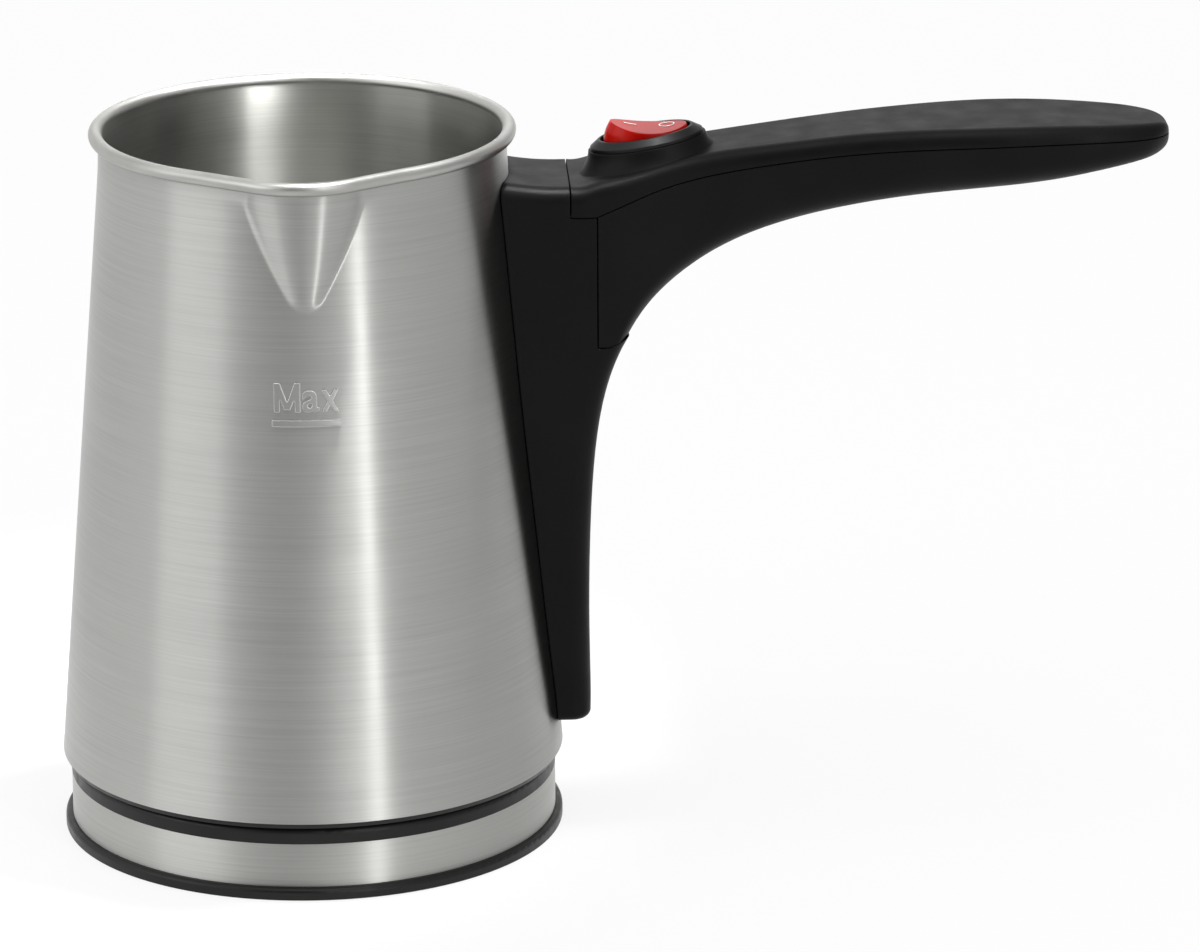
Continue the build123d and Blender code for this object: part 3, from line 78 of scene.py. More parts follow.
def vary(material, socket, source, low, high, start=0.3, end=0.7):
    """Let a noise move one of the shader's values between two limits."""
    tree = material.node_tree
    spread = tree.nodes.new("ShaderNodeMapRange")
    spread.inputs["From Min"].default_value = start
    spread.inputs["From Max"].default_value = end
    spread.inputs["To Min"].default_value = low
    spread.inputs["To Max"].default_value = high
    tree.links.new(source, spread.inputs["Value"])
    tree.links.new(spread.outputs["Result"],
                   tree.nodes["Principled BSDF"].inputs[socket])


def emboss(material, source, strength, depth):
    """Let a noise raise and sink the surface by a small real depth."""
    tree = material.node_tree
    shader = tree.nodes["Principled BSDF"]
    bump = tree.nodes.new("ShaderNodeBump")
    bump.inputs["Strength"].default_value = strength
    bump.inputs["Distance"].default_value = depth
    if shader.inputs["Normal"].is_linked:
        tree.links.new(shader.inputs["Normal"].links[0].from_socket,
                       bump.inputs["Normal"])
    tree.links.new(source, bump.inputs["Height"])
    tree.links.new(bump.outputs["Normal"], shader.inputs["Normal"])


def tint(material, source, dark, light):
    """Let a noise shift the base colour between two shades."""
    tree = material.node_tree
    ramp = tree.nodes.new("ShaderNodeValToRGB")
    ramp.color_ramp.elements[0].position = 0.3
    ramp.color_ramp.elements[0].color = (*dark, 1)
    ramp.color_ramp.elements[1].position = 0.7
    ramp.color_ramp.elements[1].color = (*light, 1)
    tree.links.new(source, ramp.inputs["Fac"])
    tree.links.new(ramp.outputs["Color"],
                   tree.nodes["Principled BSDF"].inputs["Base Color"])


def soften(material, radius):
    """Round the piece's sharp moulded or cut edges by a small real radius."""
    tree = material.node_tree
    edge = tree.nodes.new("ShaderNodeBevel")
    edge.samples = 4
    edge.inputs["Radius"].default_value = radius
    tree.links.new(edge.outputs["Normal"],
                   tree.nodes["Principled BSDF"].inputs["Normal"])


def dress(material, *names):
    """Give CAD nodes their finish."""
    for name in names:
        nodes[name].material_slots[0].material = material


rubber = finish("pad_rubber", (0.010, 0.010, 0.010), 0.85)
soften(rubber, 0.3 * MM)
tint(rubber, grain(rubber, (150, 150, 150), 4.0), (0.008, 0.008, 0.008),
     (0.016, 0.016, 0.015))
vary(rubber, "Roughness", grain(rubber, (400, 400, 400)), 0.75, 0.92)
emboss(rubber, grain(rubber, (3000, 3000, 3000)), 0.4, 0.05 * MM)
dress(rubber, "rubber_feet", "cord_bush", "wire_grommet")

# ---- Base floor with its foot ring ----
# Injection moulded black plastic, slightly glossy. Its rounded foot ring is the
# black line that the whole base stands on.
base_black = finish("base_black", (0.010, 0.010, 0.010), 0.36)
settle(base_black, Specular_IOR_Level=0.25)
soften(base_black, 0.25 * MM)
tint(base_black, grain(base_black, (70, 70, 70), 4.0), (0.0055, 0.0055, 0.0055),
     (0.0090, 0.0090, 0.0085))
vary(base_black, "Roughness", grain(base_black, (300, 300, 300), 4.0), 0.30, 0.44)
emboss(base_black, grain(base_black, (2200, 2200, 2200)), 0.3, 0.03 * MM)
dress(base_black, "base_lower_shell")

# ---- Base screws ----
# Three zinc plated screws with cross recesses, turned up from below through the
# floor's wells into the deck's posts.
zinc = finish("zinc_plated", (0.62, 0.62, 0.60), 0.32, 1.0)
soften(zinc, 0.1 * MM)
tint(zinc, grain(zinc, (500, 500, 500), 4.0), (0.52, 0.52, 0.50), (0.70, 0.70, 0.67))
vary(zinc, "Roughness", grain(zinc, (900, 900, 900), 3.0), 0.24, 0.42)
emboss(zinc, grain(zinc, (2500, 2500, 2500)), 0.2, 0.02 * MM)


def pick(piece):
    """Make the piece the only one that is selected."""
    bpy.ops.object.select_all(action="DESELECT")
    piece.select_set(True)
    bpy.context.view_layer.objects.active = piece


def apply_all(piece):
    """Apply the piece's modifiers in order."""
    pick(piece)
    for modifier in list(piece.modifiers):
        bpy.ops.object.modifier_apply(modifier=modifier.name)


def settle_place(piece):
    """Move the piece's place, turn and scale into its mesh."""
    pick(piece)
    bpy.ops.object.transform_apply(location=True, rotation=True, scale=True)


def face_outwards(piece, smooth_below):
    """Turn the piece's faces outwards and shade it smooth below an angle."""
    pick(piece)
    bpy.ops.object.mode_set(mode="EDIT")
    bpy.ops.mesh.select_all(action="SELECT")
    bpy.ops.mesh.normals_make_consistent(inside=False)
    bpy.ops.object.mode_set(mode="OBJECT")
    bpy.ops.object.shade_smooth_by_angle(angle=math.radians(smooth_below))


def join(pieces, name):
    """One piece out of several finished ones."""
    pick(pieces[0])
    for piece in pieces:
        piece.select_set(True)
    bpy.ops.object.join()
    pieces[0].name = name
    pieces[0].data.name = name
    return pieces[0]


# Shares of a screw's own sizes: rounding, cross recess, thread and core.
head_rounding = 0.3
recess_share = 0.62
wing_reach = 1.15
wing_width = 0.24
wing_taper = 0.45
wing_overlap = 0.05
thread_root = 0.74
thread_width = 0.9
thread_steps = 20
thread_free_turns = 2.5
core_foot = 0.8
core_tip = 0.62


def recessed_screw(head_radius, head_height, shank_radius, shank_length, pitch):
    """Screw that points up: its head's cross recess opens downwards, at z = 0."""
    bpy.ops.mesh.primitive_cylinder_add(vertices=48, radius=head_radius,
                                        depth=head_height,
                                        location=(0, 0, head_height / 2))
    head = bpy.context.object
    settle_place(head)
    rounding = head.modifiers.new("rounding", "BEVEL")
    rounding.width = head_height * head_rounding
    rounding.segments = 4
    rounding.limit_method = "ANGLE"
    apply_all(head)
    recess_depth = head_height * recess_share
    for turn in (0, math.pi / 2):
        bpy.ops.mesh.primitive_cube_add(size=1, location=(0, 0, recess_depth / 2))
        wing = bpy.context.object
        wing.scale = (head_radius * wing_reach, head_radius * wing_width, recess_depth)
        wing.rotation_euler = (0, 0, turn)
        settle_place(wing)
        for corner in wing.data.vertices:
            if corner.co.z > recess_depth / 2:
                corner.co.x *= wing_taper
                corner.co.y *= wing_taper
            else:
                corner.co.z -= head_height * wing_overlap
        cut = head.modifiers.new("cut", "BOOLEAN")
        cut.operation = "DIFFERENCE"
        cut.object = wing
        apply_all(head)
        bpy.data.objects.remove(wing)
    bpy.ops.mesh.primitive_circle_add(vertices=3, radius=pitch / 2,
                                      location=(0, 0, head_height + pitch))
    thread = bpy.context.object
    thread.rotation_euler = (math.pi / 2, 0, 0)
    settle_place(thread)
    low = min(corner.co.z for corner in thread.data.vertices)
    tall = max(corner.co.z for corner in thread.data.vertices) - low
    for corner, side in zip(thread.data.vertices, (-0.5, 0.0, 0.5)):
        corner.co.x = shank_radius * (1.0 if side == 0 else thread_root)
        corner.co.z = low + tall / 2 + side * pitch * thread_width
    winding = thread.modifiers.new("winding", "SCREW")
    winding.axis = "Z"
    winding.steps = thread_steps
    winding.render_steps = thread_steps
    winding.screw_offset = pitch
    winding.iterations = int((shank_length - thread_free_turns * pitch) / pitch)
    winding.use_merge_vertices = False
    apply_all(thread)
    bpy.ops.mesh.primitive_cone_add(vertices=24, radius1=shank_radius * core_foot,
                                    radius2=shank_radius * core_tip,
                                    depth=shank_length,
                                    location=(0, 0, head_height + shank_length / 2))
    core = bpy.context.object
    settle_place(core)
    piece = join([head, thread, core], "screw")
    face_outwards(piece, 35)
    return piece


def places_round(circle, seat, first, turns):
    """Places at even steps round a circle, each with its screw's own turn."""
    places = []
    for step, turn in enumerate(turns):
        bearing = math.radians(first + 360 // len(turns) * step)
        places.append(((circle * math.cos(bearing), circle * math.sin(bearing), seat),
                       turn))
    return places


def set_screws(pattern, places, name, node, body):
    """Copies of one screw at its places, joined to one piece."""
    copies = []
    for place, turn in places:
        copy = pattern.copy()
        copy.data = pattern.data.copy()
        bpy.context.scene.collection.objects.link(copy)
        copy.location = place
        copy.rotation_euler = (0, 0, turn)
        settle_place(copy)
        copies.append(copy)
    piece = join(copies, name)
    piece.data.materials.clear()
    piece.data.materials.append(zinc)
    bpy.data.objects.remove(pattern)
    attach(piece, body)
    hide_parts(node)


base_screw = recessed_screw(head_radius=2.6 * MM, head_height=1.8 * MM,
                            shank_radius=1.25 * MM, shank_length=9.3 * MM,
                            pitch=0.9 * MM)
base_screw_places = places_round(circle=33.0 * MM, seat=1.3 * MM, first=30,
                                 turns=(0.2, 0.9, 0.5))
set_screws(base_screw, base_screw_places, "base_screws_cross", "base_screws", "base")

# ---- Steel band of the base ----
# Strip of stainless steel rolled to a ring and seam welded at the back, brushed
# round its length like the pot above it.

# Noise cells per metre of the brushing's parts, then how strongly they show.
brush_lines = (30, 30, 3200)
brush_patches = (30, 30, 52)
brush_sparkle = (1500, 1500, 4200)
patch_share = 0.62
brush_dark = 0.85
brush_light = 1.13
line_depth = 0.010 * MM
sparkle_depth = 0.008 * MM
sparkle_strength = 0.16


def brushing(name, colour, roughness, streaks, scratches=0.14):
    """Steel brushed round the upright axis, its highlight drawn out up and down."""
    material = finish(name, colour, roughness, 1.0)
    settle(material, Anisotropic=1.0, Anisotropic_Rotation=0.25)
    tree = material.node_tree
    tangent = tree.nodes.new("ShaderNodeTangent")
    tangent.direction_type = "RADIAL"
    tangent.axis = "Z"
    tree.links.new(tangent.outputs["Tangent"],
                   tree.nodes["Principled BSDF"].inputs["Tangent"])
    fine = grain(material, brush_lines, 2.0)
    cloud = grain(material, brush_patches, 5.0)
    blend = tree.nodes.new("ShaderNodeMix")
    blend.inputs["Factor"].default_value = patch_share
    tree.links.new(fine, blend.inputs["A"])
    tree.links.new(cloud, blend.inputs["B"])
    vary(material, "Roughness", cloud, roughness - streaks, roughness + streaks)
    tint(material, blend.outputs["Result"], [value * brush_dark for value in colour],
         [min(1.0, value * brush_light) for value in colour])
    emboss(material, fine, scratches, line_depth)
    emboss(material, grain(material, brush_sparkle, 1.0), sparkle_strength,
           sparkle_depth)
    return material


band_steel = brushing("band_steel", (0.53, 0.53, 0.51), 0.44, 0.04)
dress(band_steel, "base_trim_band")

# ---- Deck of the base ----
# Moulded top of the base in the same black plastic as the floor, with the groove
# that the running ring lies in. The cord's clamp under it is a piece of the same.
dress(base_black, "base_upper_shell", "cord_clamp")

# ---- Power connector of the base ----
# Round post in heat resistant plastic, screwed under the deck, with its brass
# contacts set in rings so that the pot may be put down at any angle.
socket_black = finish("socket_black", (0.014, 0.014, 0.014), 0.5)
soften(socket_black, 0.15 * MM)
tint(socket_black, grain(socket_black, (120, 120, 120), 4.0), (0.011, 0.011, 0.011),
     (0.019, 0.019, 0.018))
vary(socket_black, "Roughness", grain(socket_black, (500, 500, 500)), 0.42, 0.6)
emboss(socket_black, grain(socket_black, (2600, 2600, 2600)), 0.4, 0.03 * MM)
dress(socket_black, "base_connector", "connector_socket")

brass = finish("contact_brass", (0.72, 0.50, 0.20), 0.28, 1.0)
soften(brass, 0.08 * MM)
tint(brass, grain(brass, (420, 420, 420), 4.0), (0.60, 0.40, 0.15),
     (0.80, 0.58, 0.25))
vary(brass, "Roughness", grain(brass, (800, 800, 800), 3.0), 0.2, 0.4)
emboss(brass, grain(brass, (2400, 2400, 2400)), 0.2, 0.015 * MM)
dress(brass, "base_live_contact", "base_neutral_contact", "base_earth_contact",
      "socket_pin", "socket_neutral_ring", "socket_earth_ring", "switch_terminals",
      "contact_lever")
dress(zinc, "connector_screws", "cord_clamp_screws")

# ---- Running ring ----
# Loose moulded ring of slippery plastic that lies free in the deck's groove. The
# pot rests and turns on it.
acetal = finish("running_acetal", (0.016, 0.016, 0.017), 0.3)
soften(acetal, 0.15 * MM)
tint(acetal, grain(acetal, (100, 100, 100), 3.0), (0.013, 0.013, 0.014),
     (0.020, 0.020, 0.021))
vary(acetal, "Roughness", grain(acetal, (60, 60, 1200), 3.0), 0.22, 0.38)
emboss(acetal, grain(acetal, (1600, 1600, 1600)), 0.2, 0.02 * MM)
dress(acetal, "swivel_ring", "switch_plunger")

# ---- Pot wall ----
# Deep drawn stainless steel, 0.8 mm thick: a cone with a short upright neck, a
# V pressed out for pouring and a rolled rim. Brushed outside and inside.

# Sizes in millimetres: wall and rim, then the V, then the lip in the rim.
wall_foot = 16.5
wall_foot_radius = 52.0
neck_radius = 41.45
neck_height = 142.0
neck_bend = 120.0
rim_height = 147.4
wall_thickness = 0.8
bead_radius = 1.4
bead_offset = 0.52
spout_foot_height = 121.6
spout_rises = (0.0, 3.0, 6.5, 11.4, 15.5, 21.9, 25.8)
spout_radii = (4.6, 6.2, 8.6, 10.8, 12.3, 13.9, 14.8)
spout_stand = 0.59
spout_slope = 0.178
spout_end_rise = 2.2
spout_end_length = 2.6
spout_end_drop = 1.1
spout_nose = 16.3
lip_inset = 0.1
lip_depths = (13.4, 8.4, 3.9, 0.0)
lip_reaches = (0.05, 0.6, 2.4, 5.2)
spout_fade = 3.0
crease_low = 0.35
crease_high = 0.7
crease_rise = 16.0
lip_crease = 0.3

wall_lean = math.atan2(wall_foot_radius - neck_radius, neck_height - wall_foot)
bend_half = neck_bend * math.tan(wall_lean / 2)
bend_low = neck_height - bend_half * math.cos(wall_lean)
bend_high = neck_height + bend_half


def round_wall(height):
    """Radius of the pot without its spout, in millimetres."""
    cone = wall_foot_radius - (height - wall_foot) * math.tan(wall_lean)
    below_end = np.clip(bend_high - height, 0, None)
    bend = neck_radius + neck_bend - np.sqrt(np.clip(neck_bend ** 2 - below_end ** 2,
                                                     0, None))
    return np.where(height < bend_low, cone, bend)


def merge(one, other, width):
    """The larger of two radii, rounded off where they cross."""
    overlap = np.clip(width - np.abs(one - other), 0, None) / width
    return np.maximum(one, other) + overlap ** 2 * width / 4


def pot_radius(turn, height):
    """Radius of the pot's outside; turn is measured from the spout."""
    radius = round_wall(height)
    rise = np.clip(height - spout_foot_height, -spout_fade, None)
    nose = np.polyval(np.polyfit(spout_rises, spout_radii, 3), rise)
    end = np.clip((spout_end_rise - rise) / spout_end_length, 0, 1)
    stand = (spout_stand + spout_slope * rise
             - spout_end_drop * (1 - np.sqrt(1 - end ** 2)))
    foot = spout_foot_height - spout_fade
    centre = round_wall(np.clip(height, foot, None)) + stand - nose
    inside = nose ** 2 - (centre * np.sin(turn)) ** 2
    pressed = np.where((inside > 0) & (np.cos(turn) > 0),
                       centre * np.cos(turn) + np.sqrt(np.clip(inside, 0, None)), 0.0)
    crease = crease_low + (crease_high - crease_low) * np.clip(
        (height - spout_foot_height) / crease_rise, 0, 1)
    radius = merge(radius, pressed, crease)
    curve = np.polyfit(lip_depths, lip_reaches, 3)
    below_rim = np.clip(rim_height - height, 0, lip_depths[0])
    reach = np.polyval(curve, below_rim) + lip_inset
    neck = neck_radius - lip_inset
    lip_centre = neck + reach - spout_nose
    side = np.arccos(np.clip((neck - spout_nose) / lip_centre, -1, 1))
    nose_end = np.arctan2(spout_nose * np.sin(side),
                          lip_centre + spout_nose * np.cos(side))
    away = np.abs(turn)
    round_nose = lip_centre * np.cos(away) + np.sqrt(np.clip(
        spout_nose ** 2 - (lip_centre * np.sin(away)) ** 2, 0, None))
    straight = neck / np.cos(np.clip(away - side, -1, 1))
    lip = np.where(away < nose_end, round_nose, np.where(away < side, straight, neck))
    return merge(radius, lip, lip_crease)


def read_points(piece):
    """The piece's points, one row each."""
    points = np.empty(len(piece.data.vertices) * 3)
    piece.data.vertices.foreach_get("co", points)
    return points.reshape(-1, 3)


def write_points(piece, points):
    """Move the piece's points to new places."""
    piece.data.vertices.foreach_set("co", points.ravel())
    piece.data.update()


# The grid's columns run round the pot, close together at the spout; its rows run
# up the outside, over the rim's bead and down the inside.
column_count = 440
fine_from = 115.5
fine_half_width = math.radians(27)
fine_share = (0.25, 0.75)
bead_join = 68.2
bead_end = 199.5
inner_drop = 0.467
outer_top = rim_height - bead_radius * math.sin(math.radians(bead_join))
low_rows = np.linspace(wall_foot, fine_from, 16)[:-1]
high_rows = np.linspace(fine_from, outer_top, 68)
outer_rows = np.concatenate([low_rows, high_rows])
bead_turns = np.radians(np.linspace(bead_join - 180, bead_end, 24))[1:-1]
inner_high = np.linspace(rim_height - inner_drop, fine_from, 52)
inner_low = np.linspace(fine_from, wall_foot, 12)[1:]
inner_rows = np.concatenate([inner_high, inner_low])
row_count = len(outer_rows) + len(bead_turns) + len(inner_rows)

bpy.ops.mesh.primitive_grid_add(x_subdivisions=column_count, y_subdivisions=row_count,
                                size=1)
wall = bpy.context.object
wall.name = "pot_wall_pressed"
wall.data.name = "pot_wall_pressed"
spots = read_points(wall)
across = spots[:, 0] + 0.5
along = np.rint((spots[:, 1] + 0.5) * row_count).astype(int)
turn = np.interp(across, (0, *fine_share, 1),
                 (-math.pi, -fine_half_width, fine_half_width, math.pi))
inner_from = len(outer_rows) + len(bead_turns)
outside, rim, inside = 0, 1, 2
for face in wall.data.polygons:
    row = int((face.center.y + 0.5) * row_count)
    if row < len(outer_rows) - 1:
        face.material_index = outside
    elif row < inner_from:
        face.material_index = rim
    else:
        face.material_index = inside
height_of_row = np.concatenate([outer_rows, np.full(len(bead_turns), rim_height),
                                inner_rows, [wall_foot]])
height = height_of_row[along]
is_inner = (along >= inner_from) & (along < row_count)
is_bead = (along >= len(outer_rows)) & (along < inner_from)
radius = pot_radius(turn, height)
step = 1e-4
slope = (pot_radius(turn + step, height)
         - pot_radius(turn - step, height)) / (2 * step)
lean_out = np.arctan2(-slope, radius)
out_x = np.sin(turn + lean_out)
out_y = -np.cos(turn + lean_out)
x = radius * np.sin(turn)
y = -radius * np.cos(turn)
x = np.where(is_inner, x - wall_thickness * out_x, x)
y = np.where(is_inner, y - wall_thickness * out_y, y)
bead_turn = np.zeros(len(along))
bead_turn[is_bead] = bead_turns[along[is_bead] - len(outer_rows)]
bead_out = bead_offset + bead_radius * np.cos(bead_turn)
x = np.where(is_bead, x + bead_out * out_x, x)
y = np.where(is_bead, y + bead_out * out_y, y)
z = np.where(is_bead, rim_height + bead_radius * np.sin(bead_turn), height)
write_points(wall, np.stack([x, y, z], 1) * MM)

weld_distance = 0.01 * MM
bpy.ops.object.mode_set(mode="EDIT")
bpy.ops.mesh.select_all(action="SELECT")
bpy.ops.mesh.remove_doubles(threshold=weld_distance)
bpy.ops.mesh.normals_make_consistent(inside=False)
bpy.ops.object.mode_set(mode="OBJECT")

wire_hole_radius = 2.8 * MM
wire_hole_depth = 12 * MM
wire_hole_place = (50 * MM, 0, 27.8 * MM)
bpy.ops.mesh.primitive_cylinder_add(vertices=48, radius=wire_hole_radius,
                                    depth=wire_hole_depth, location=wire_hole_place,
                                    rotation=(0, math.pi / 2, 0))
wire_hole = bpy.context.object
settle_place(wire_hole)
drilling = wall.modifiers.new("drilling", "BOOLEAN")
drilling.operation = "DIFFERENCE"
drilling.object = wire_hole
apply_all(wall)
bpy.data.objects.remove(wire_hole)
bpy.ops.object.shade_smooth_by_angle(angle=math.radians(32))

pot_steel = brushing("pot_steel", (0.475, 0.475, 0.46), 0.40, 0.05)
rim_steel = finish("rim_steel", (0.42, 0.418, 0.40), 0.40, 1.0)
tint(rim_steel, grain(rim_steel, (90, 90, 900), 3.0), (0.38, 0.378, 0.362),
     (0.46, 0.458, 0.441))
vary(rim_steel, "Roughness", grain(rim_steel, (70, 70, 1500), 3.0), 0.36, 0.46)
emboss(rim_steel, grain(rim_steel, (60, 60, 2600), 2.0), 0.3, 0.01 * MM)
# The inside is the same steel as the outside: its darker base colour is painted shade
# inside the pot.
shaded_inside_steel = brushing("shaded_inside_steel", (0.38, 0.38, 0.36), 0.36, 0.05, 0.5)
for material in (pot_steel, rim_steel, shaded_inside_steel):
    wall.data.materials.append(material)
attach(wall, "pot")
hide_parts("pot_wall")

# ---- Fill mark ----
# The word Max over a line, pressed out of the steel from inside, so that the
# letters stand a little proud with rounded edges.

# Sizes in millimetres; the mark is drawn flat and then bent.
mark_relief = 0.38
drawn_relief = 0.5
front_radius = 44.8
mark_cell = 0.11
mark_smoothing = 6


def paint_edge_highlight(material, highlight_colour, rounding_from, rounding_to):
    """Paint a highlight on the sloped edges of a stamped mark, mixing their colour
    towards white.
    """
    tree = material.node_tree
    place = tree.nodes.new("ShaderNodeTexCoord")
    level = tree.nodes.new("ShaderNodeVectorMath")
    level.operation = "MULTIPLY"
    level.inputs[1].default_value = (1, 1, 0)
    tree.links.new(place.outputs["Object"], level.inputs[0])
    outward = tree.nodes.new("ShaderNodeVectorMath")
    outward.operation = "NORMALIZE"
    tree.links.new(level.outputs["Vector"], outward.inputs[0])
    facing = tree.nodes.new("ShaderNodeVectorMath")
    facing.operation = "DOT_PRODUCT"
    tree.links.new(outward.outputs["Vector"], facing.inputs[0])
    tree.links.new(place.outputs["Normal"], facing.inputs[1])
    edge = tree.nodes.new("ShaderNodeMapRange")
    edge.inputs["From Min"].default_value = rounding_from
    edge.inputs["From Max"].default_value = rounding_to
    tree.links.new(facing.outputs["Value"], edge.inputs["Value"])
    mix = tree.nodes.new("ShaderNodeMix")
    mix.data_type = "RGBA"
    colour = tree.nodes["Principled BSDF"].inputs["Base Color"]
    tree.links.new(edge.outputs["Result"], mix.inputs[0])
    tree.links.new(colour.links[0].from_socket, mix.inputs[6])
    mix.inputs[7].default_value = (*highlight_colour, 1)
    tree.links.new(mix.outputs[2], colour)


def wrap_on_wall(piece, relief_scale):
    """Bend a flat piece, drawn in x and z, round the front of the pot."""
    flat = read_points(piece)
    radius = pot_radius(flat[:, 0] / front_radius, flat[:, 2])
    bearing = flat[:, 0] / radius
    out = radius + flat[:, 1] * relief_scale
    bent = np.stack([out * np.sin(bearing), -out * np.cos(bearing), flat[:, 2]], 1)
    write_points(piece, bent * MM)


def round_off(piece, cell):
    """Turn a flat-topped piece to one even mesh with rounded edges."""
    remesh = piece.modifiers.new("remesh", "REMESH")
    remesh.mode = "VOXEL"
    remesh.voxel_size = cell
    smooth = piece.modifiers.new("smooth", "SMOOTH")
    smooth.factor = 0.5
    smooth.iterations = mark_smoothing
    apply_all(piece)


letters = []
letter_half = 0.55
letter_low = 101.2
letter_high = 105.6
for letter, left, right in (("a", -1.0, 2.45), ("x", 2.85, 6.3)):
    bpy.ops.object.text_add(location=(0, 0, 0))
    text = bpy.context.object
    text.data.body = letter
    text.data.size = 8.0
    text.data.offset = 0.14
    text.data.extrude = letter_half
    text.data.resolution_u = 8
    bpy.ops.object.convert(target="MESH")
    text = bpy.context.object
    drawn = read_points(text)
    x_low, y_low = drawn[:, 0].min(), drawn[:, 1].min()
    wide = drawn[:, 0].max() - x_low
    tall = drawn[:, 1].max() - y_low
    flat = np.stack([left + (drawn[:, 0] - x_low) * (right - left) / wide,
                     drawn[:, 2],
                     letter_low + (drawn[:, 1] - y_low) * (letter_high - letter_low)
                     / tall], 1)
    write_points(text, flat)
    letters.append(text)
# The bars of the M and the line under the word: middle, level, width, height, lean.
bars = (
    (-6.05, 104.15, 1.1, 5.9, 0.0), (-1.9, 104.15, 1.1, 5.9, 0.0),
    (-5.0, 104.4, 1.05, 5.5, -20.0), (-2.95, 104.4, 1.05, 5.5, 20.0),
    (-0.25, 98.9, 13.7, 1.3, 0.0),
)
for middle, level, wide, tall, lean in bars:
    bpy.ops.mesh.primitive_cube_add(size=1, location=(middle, 0, level))
    bar = bpy.context.object
    bar.scale = (wide, 2 * letter_half, tall)
    bar.rotation_euler = (0, math.radians(lean), 0)
    settle_place(bar)
    letters.append(bar)
mark = join(letters, "fill_mark")
round_off(mark, mark_cell)
wrap_on_wall(mark, mark_relief / drawn_relief)
face_outwards(mark, 60)
mark.data.materials.clear()
mark_steel = brushing("mark_steel", (0.475, 0.475, 0.46), 0.40, 0.05)
# The letters' sloped edges get a painted highlight: lighter steel colour in place of
# the reflections there.
paint_edge_highlight(mark_steel, (1.0, 1.0, 0.98), 0.97, 0.78)
mark.data.materials.append(mark_steel)
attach(mark, "pot")

# ---- Pot floor ----
# Round stainless steel floor, pressed with an upturned edge, brushed in rings
# and welded into the wall.
floor_steel = brushing("floor_steel", (0.42, 0.415, 0.40), 0.38, 0.05)
dress(floor_steel, "pot_floor")

# ---- Heater under the floor ----
# Cast aluminium plate with a sheathed heating element brazed under it, and the
# two pins that feed it. The sheath has taken a light straw colour from heat.
aluminium = finish("cast_aluminium", (0.60, 0.60, 0.61), 0.5, 1.0)
soften(aluminium, 0.2 * MM)
tint(aluminium, grain(aluminium, (180, 180, 180), 5.0), (0.48, 0.48, 0.49),
     (0.66, 0.66, 0.67))
vary(aluminium, "Roughness", grain(aluminium, (500, 500, 500), 3.0), 0.42, 0.62)
emboss(aluminium, grain(aluminium, (1200, 1200, 1200), 4.0), 0.4, 0.06 * MM)
dress(aluminium, "heater_plate")
sheath = finish("heated_sheath", (0.36, 0.33, 0.28), 0.42, 1.0)
tint(sheath, grain(sheath, (60, 60, 60), 3.0), (0.28, 0.25, 0.21),
     (0.44, 0.38, 0.29))
vary(sheath, "Roughness", grain(sheath, (300, 300, 300), 3.0), 0.34, 0.52)
emboss(sheath, grain(sheath, (1500, 1500, 1500)), 0.3, 0.02 * MM)
dress(sheath, "heating_element", "dry_boil_disc")
dress(zinc, "element_cold_pins", "handle_screws", "switch_spring")
ceramic = finish("fuse_ceramic", (0.72, 0.69, 0.62), 0.35)
soften(ceramic, 0.15 * MM)
tint(ceramic, grain(ceramic, (300, 300, 300), 4.0), (0.66, 0.63, 0.56),
     (0.78, 0.75, 0.69))
vary(ceramic, "Roughness", grain(ceramic, (700, 700, 700)), 0.28, 0.45)
dress(ceramic, "thermal_fuse")

# ---- Bottom cover ----
# Moulded ring and plate that close the pot from below, held by three screws; its
# edge is the black ring between the steel wall and the base.
dress(base_black, "bottom_cover")
cover_screw = recessed_screw(head_radius=2.6 * MM, head_height=1.8 * MM,
                             shank_radius=1.25 * MM, shank_length=12.0 * MM,
                             pitch=0.9 * MM)
cover_screw_places = places_round(circle=40.6 * MM, seat=15.7 * MM, first=90,
                                  turns=(0.7, 0.3, 1.1))
set_screws(cover_screw, cover_screw_places, "bottom_cover_screws_cross",
           "bottom_cover_screws", "pot")

# ---- Wires ----
# Three stranded wires in silicone sleeves, from the heater's control up the back
# of the pot to the switch.


def sleeve(name, dark, light):
    """Glossy silicone sleeve of a wire."""
    material = finish(name, light, 0.38)
    tint(material, grain(material, (200, 200, 200), 3.0), dark, light)
    vary(material, "Roughness", grain(material, (600, 600, 600)), 0.3, 0.48)
    emboss(material, grain(material, (2200, 2200, 2200)), 0.2, 0.02 * MM)
    return material


brown_sleeve = sleeve("brown_sleeve", (0.080, 0.028, 0.010), (0.110, 0.040, 0.015))
blue_sleeve = sleeve("blue_sleeve", (0.018, 0.060, 0.26), (0.028, 0.085, 0.33))
white_sleeve = sleeve("white_sleeve", (0.68, 0.68, 0.65), (0.80, 0.80, 0.78))
dress(brown_sleeve, "feed_wire")
dress(blue_sleeve, "return_wire")
dress(white_sleeve, "lamp_wire")

# ---- Handle ----
# Steel channel on the wall, the column screwed to it, and the grip in two shells.
# Moulded in heat resistant plastic with a fine satin grain.
bracket_steel = finish("bracket_steel", (0.46, 0.46, 0.45), 0.36, 1.0)
soften(bracket_steel, 0.15 * MM)
tint(bracket_steel, grain(bracket_steel, (60, 60, 700), 3.0), (0.40, 0.40, 0.39),
     (0.52, 0.52, 0.51))
vary(bracket_steel, "Roughness", grain(bracket_steel, (200, 200, 400)), 0.28, 0.45)
dress(bracket_steel, "handle_bracket")

handle_black = finish("handle_black", (0.0040, 0.0039, 0.0038), 0.40)
settle(handle_black, Specular_IOR_Level=0.10)
soften(handle_black, 0.35 * MM)
tint(handle_black, grain(handle_black, (45, 45, 45), 4.0), (0.0033, 0.0032, 0.0031),
     (0.0050, 0.0048, 0.0047))
vary(handle_black, "Roughness", grain(handle_black, (160, 160, 160), 5.0), 0.37, 0.47)
emboss(handle_black, grain(handle_black, (1500, 1500, 1500), 2.0), 0.5, 0.035 * MM)
dress(handle_black, "handle_column", "handle_lower_shell", "handle_upper_cover")

